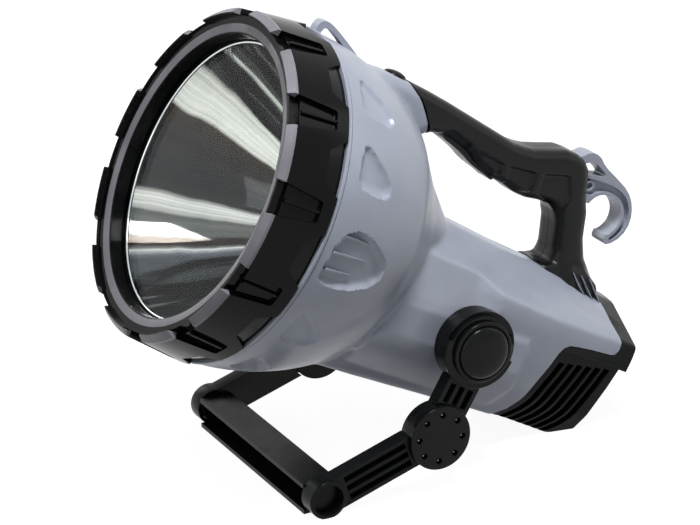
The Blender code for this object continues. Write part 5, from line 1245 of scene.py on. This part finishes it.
def add_stand(name, side):
    """One side of the stand: boss, hub and upper arm, knob, elbow disc and lower arm."""
    boss = [(0.060, 0), (0.060, 0.0215), (0.0705, 0.0228), (0.0728, 0.0254), (0.0774, 0.0254)]
    boss += arc((0.0774, 0.0244), 0.0010, 90, 0, 5)
    boss += [(0.0784, 0.0240), (0.0714, 0.0240), (0.0714, 0)]
    boss = turned(f"boss_{name}", boss, PIVOT, 96)
    finish_piece(mirrored(boss, side), black_nylon, "casing", "black_abs", f"pivot_boss_{name}", smooth=28)

    arm = link_slab(f"upper_link_{name}", PIVOT, ELBOW, UPPER_HALF, ARM_IN, ARM_OUT - 0.0009)
    hub = [(0.0717, 0), (0.0717, 0.0238), (0.0790, 0.0238), (0.0790, 0.0258), (0.0794, 0.0262)]
    hub += [(0.0888, 0.0262)] + arc((0.0888, 0.0252), 0.0010, 90, 0, 4) + [(0.0898, 0)]
    hub = turned("hub", hub, PIVOT, 96)
    bm = bmesh.new()
    step = [(0.0866, 0.0238), (0.0866, 0.0290), (0.0950, 0.0290), (0.0950, 0.0238)]
    face = bm.faces.new([bm.verts.new((across, 0, out)) for across, out in step])
    bmesh.ops.spin(
        bm, geom=[face] + face.edges[:] + face.verts[:], cent=(0, 0, 0), axis=(1, 0, 0), angle=STEP_SPAN,
        steps=60, use_merge=False,
    )
    lean = across_at(PIVOT) @ Matrix.Rotation(STEP_TURN, 4, "X")
    bmesh.ops.transform(bm, matrix=lean, verts=bm.verts)
    combine(hub, "DIFFERENCE", form("hub_step", bm))
    end = disc("elbow_end", ARM_IN, ARM_OUT, ELBOW_RADIUS, ELBOW)
    combine(arm, "UNION", hub, end)
    lap = disc("lap", LAP - LAP_GAP, 0.11, ELBOW_ROOM, ELBOW)
    combine(arm, "DIFFERENCE", lap, *arm_slot_tools("slot", PIVOT, ELBOW, 0.0264, 0.0222, 0.0072))
    round_edges(arm, 0.0006, 3, 34)
    finish_piece(mirrored(arm, side), black_nylon, "stand_upper", "black_abs", f"upper_arm_{name}", smooth=36)

    knob = [(0.0903, 0), (0.0903, 0.0208), (0.0922, 0.0208)] + arc((0.0922, 0.0198), 0.0010, 90, 0, 4)
    knob += [(0.0932, 0.0187), (0.0928, 0.0182), (0.0922, 0.0180), (0.0922, 0.0177), (0.0934, 0.0176)]
    for step in range(9):
        turn = math.radians(10 + 80 * step / 8)
        knob.append((0.0936 + 0.0040 * math.sin(turn), 0.0174 * math.cos(turn)))
    knob = turned(f"knob_{name}", knob, PIVOT, 96)
    knob = mirrored(knob, side)
    finish_piece(knob, black_nylon, f"knob_{name}", "black_abs", f"pivot_knob_{name}", smooth=26)

    arm = link_slab(f"lower_link_{name}", ELBOW, FOOT, LOWER_HALF, ARM_IN, ARM_OUT)
    end = disc("elbow_end", LAP + LAP_GAP, ARM_OUT, ELBOW_RADIUS, ELBOW)
    foot = turned("foot", rounded_disc_profile(0.0787, 0.0918, 0.0130, 0.0010), FOOT)
    combine(arm, "DIFFERENCE", disc("lap", 0.05, LAP + LAP_GAP, ELBOW_ROOM, ELBOW))
    combine(arm, "UNION", end, foot)
    tools = arm_slot_tools("slot", ELBOW, FOOT, 0.0234, 0.0150, 0.0066)
    combine(arm, "DIFFERENCE", disc("bore", 0.0787 - 0.002, 0.11, 0.0105, FOOT), *tools)
    combine(arm, "DIFFERENCE", ground_room("ground"))
    round_edges(arm, 0.0005, 2, 34)
    finish_piece(mirrored(arm, side), black_abs, "stand_lower", "black_abs", f"lower_arm_{name}", smooth=36)

    cap = turned(f"elbow_cap_{name}", rounded_disc_profile(0.0903, 0.0935, ELBOW_RADIUS, 0.0008), ELBOW)
    pit = [(0.0908, 0), (0.0908, 0.0019), (0.0960, 0.0024), (0.0960, 0)]
    pin = [(0.0908, 0), (0.0908, 0.0008), (0.0916, 0.0007), (0.0920, 0.0004), (0.0921, 0)]
    pins = []
    for index in range(8):
        angle = math.radians(45 * (index + 0.5))
        centre = ELBOW + 0.0158 * Vector((math.cos(angle), math.sin(angle)))
        combine(cap, "DIFFERENCE", turned("pit", pit, centre, 20))
        pins.append(turned("pin", pin, centre, 12))
    cap = mirrored(cap, side)
    finish_piece(cap, black_nylon, "stand_upper", "black_abs", f"elbow_disc_{name}", smooth=30)
    pins = mirrored(merged(f"elbow_pins_{name}", *pins), side)
    finish_piece(pins, steel, "stand_upper", "steel", smooth=60)


def add_foot_bar():
    """Channel bar, open to the front and level with the ground, with a round plug at each end."""
    half, wall, low, high = 0.0115, 0.003, -0.0122, 0.0088
    section = [
        (-half, low), (half, low), (half, low + wall), (-half + wall, low + wall),
        (-half + wall, high - wall), (half, high - wall), (half, high), (-half, high),
    ]
    turn = Matrix.Rotation(-BEAM_PITCH, 2)
    outline = [tuple(FOOT + turn @ Vector(point)) for point in section]
    bar = plate("foot_channel", outline, -0.0784, 0.0784)
    for low, high in ((-0.085, -0.0762), (0.0762, 0.085)):
        combine(bar, "UNION", disc("plug", low, high, 0.0102, FOOT, 64))
    round_edges(bar, 0.0006, 3, 34)
    finish_piece(bar, black_abs, "stand_lower", "black_abs", "foot_bar", smooth=36)


# CAD nodes that stay

# Coil springs: the joint that presses each, its seat in the beam's frame, and the share of length that stays
springs = (
    ("lock_button_spring", "button_press", (-0.071, 0, 0.0939), 0.60),
    ("trigger_spring", "trigger_pull", (-0.1597, 0, 0.0908), 0.72),
)


def paint_kept_nodes():
    """Gives every CAD node that stays the finish that its slot names."""
    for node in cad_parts.values():
        for slot in node.material_slots:
            base = slot.material.name.split(".")[0]
            slot.material = FINISHES.get(base, black_abs)


def shorten_springs():
    """Gives each of the two coil springs a mesh of its own."""
    for name, joint, seat, keep in springs:
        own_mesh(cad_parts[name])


add_camera()
add_backdrop()
add_softbox("key softbox", (-0.10, 0.42, 1.45), (-0.05, 0, 0.15), (0.36, 0.36), 18.5)
add_softbox("front softbox", (1.3, 0.9, 0.9), (0, 0, 0.15), (0.5, 0.9), 3)
add_softbox("back softbox", (-1.2, 0.6, 0.9), (0, 0, 0.15), (0.4, 0.9), 1.5)
add_softbox("far softbox", (0.3, -1.5, 0.7), (-0.05, 0, 0.15), (0.6, 0.9), 4)

paint_kept_nodes()
shorten_springs()
casing_outer = add_casing()
grip_outer = add_grips(casing_outer)
add_claws()
add_trigger()
add_button()
add_hook(grip_outer)
add_strap_loop(casing_outer)
add_tail(casing_outer)
for piece in (casing_outer, grip_outer):
    bpy.data.objects.remove(piece)
for name, side in SIDES:
    add_stand(name, side)
add_foot_bar()
add_bezel()
add_reflector()
add_lens()

bpy.context.scene.view_settings.view_transform = "Standard"
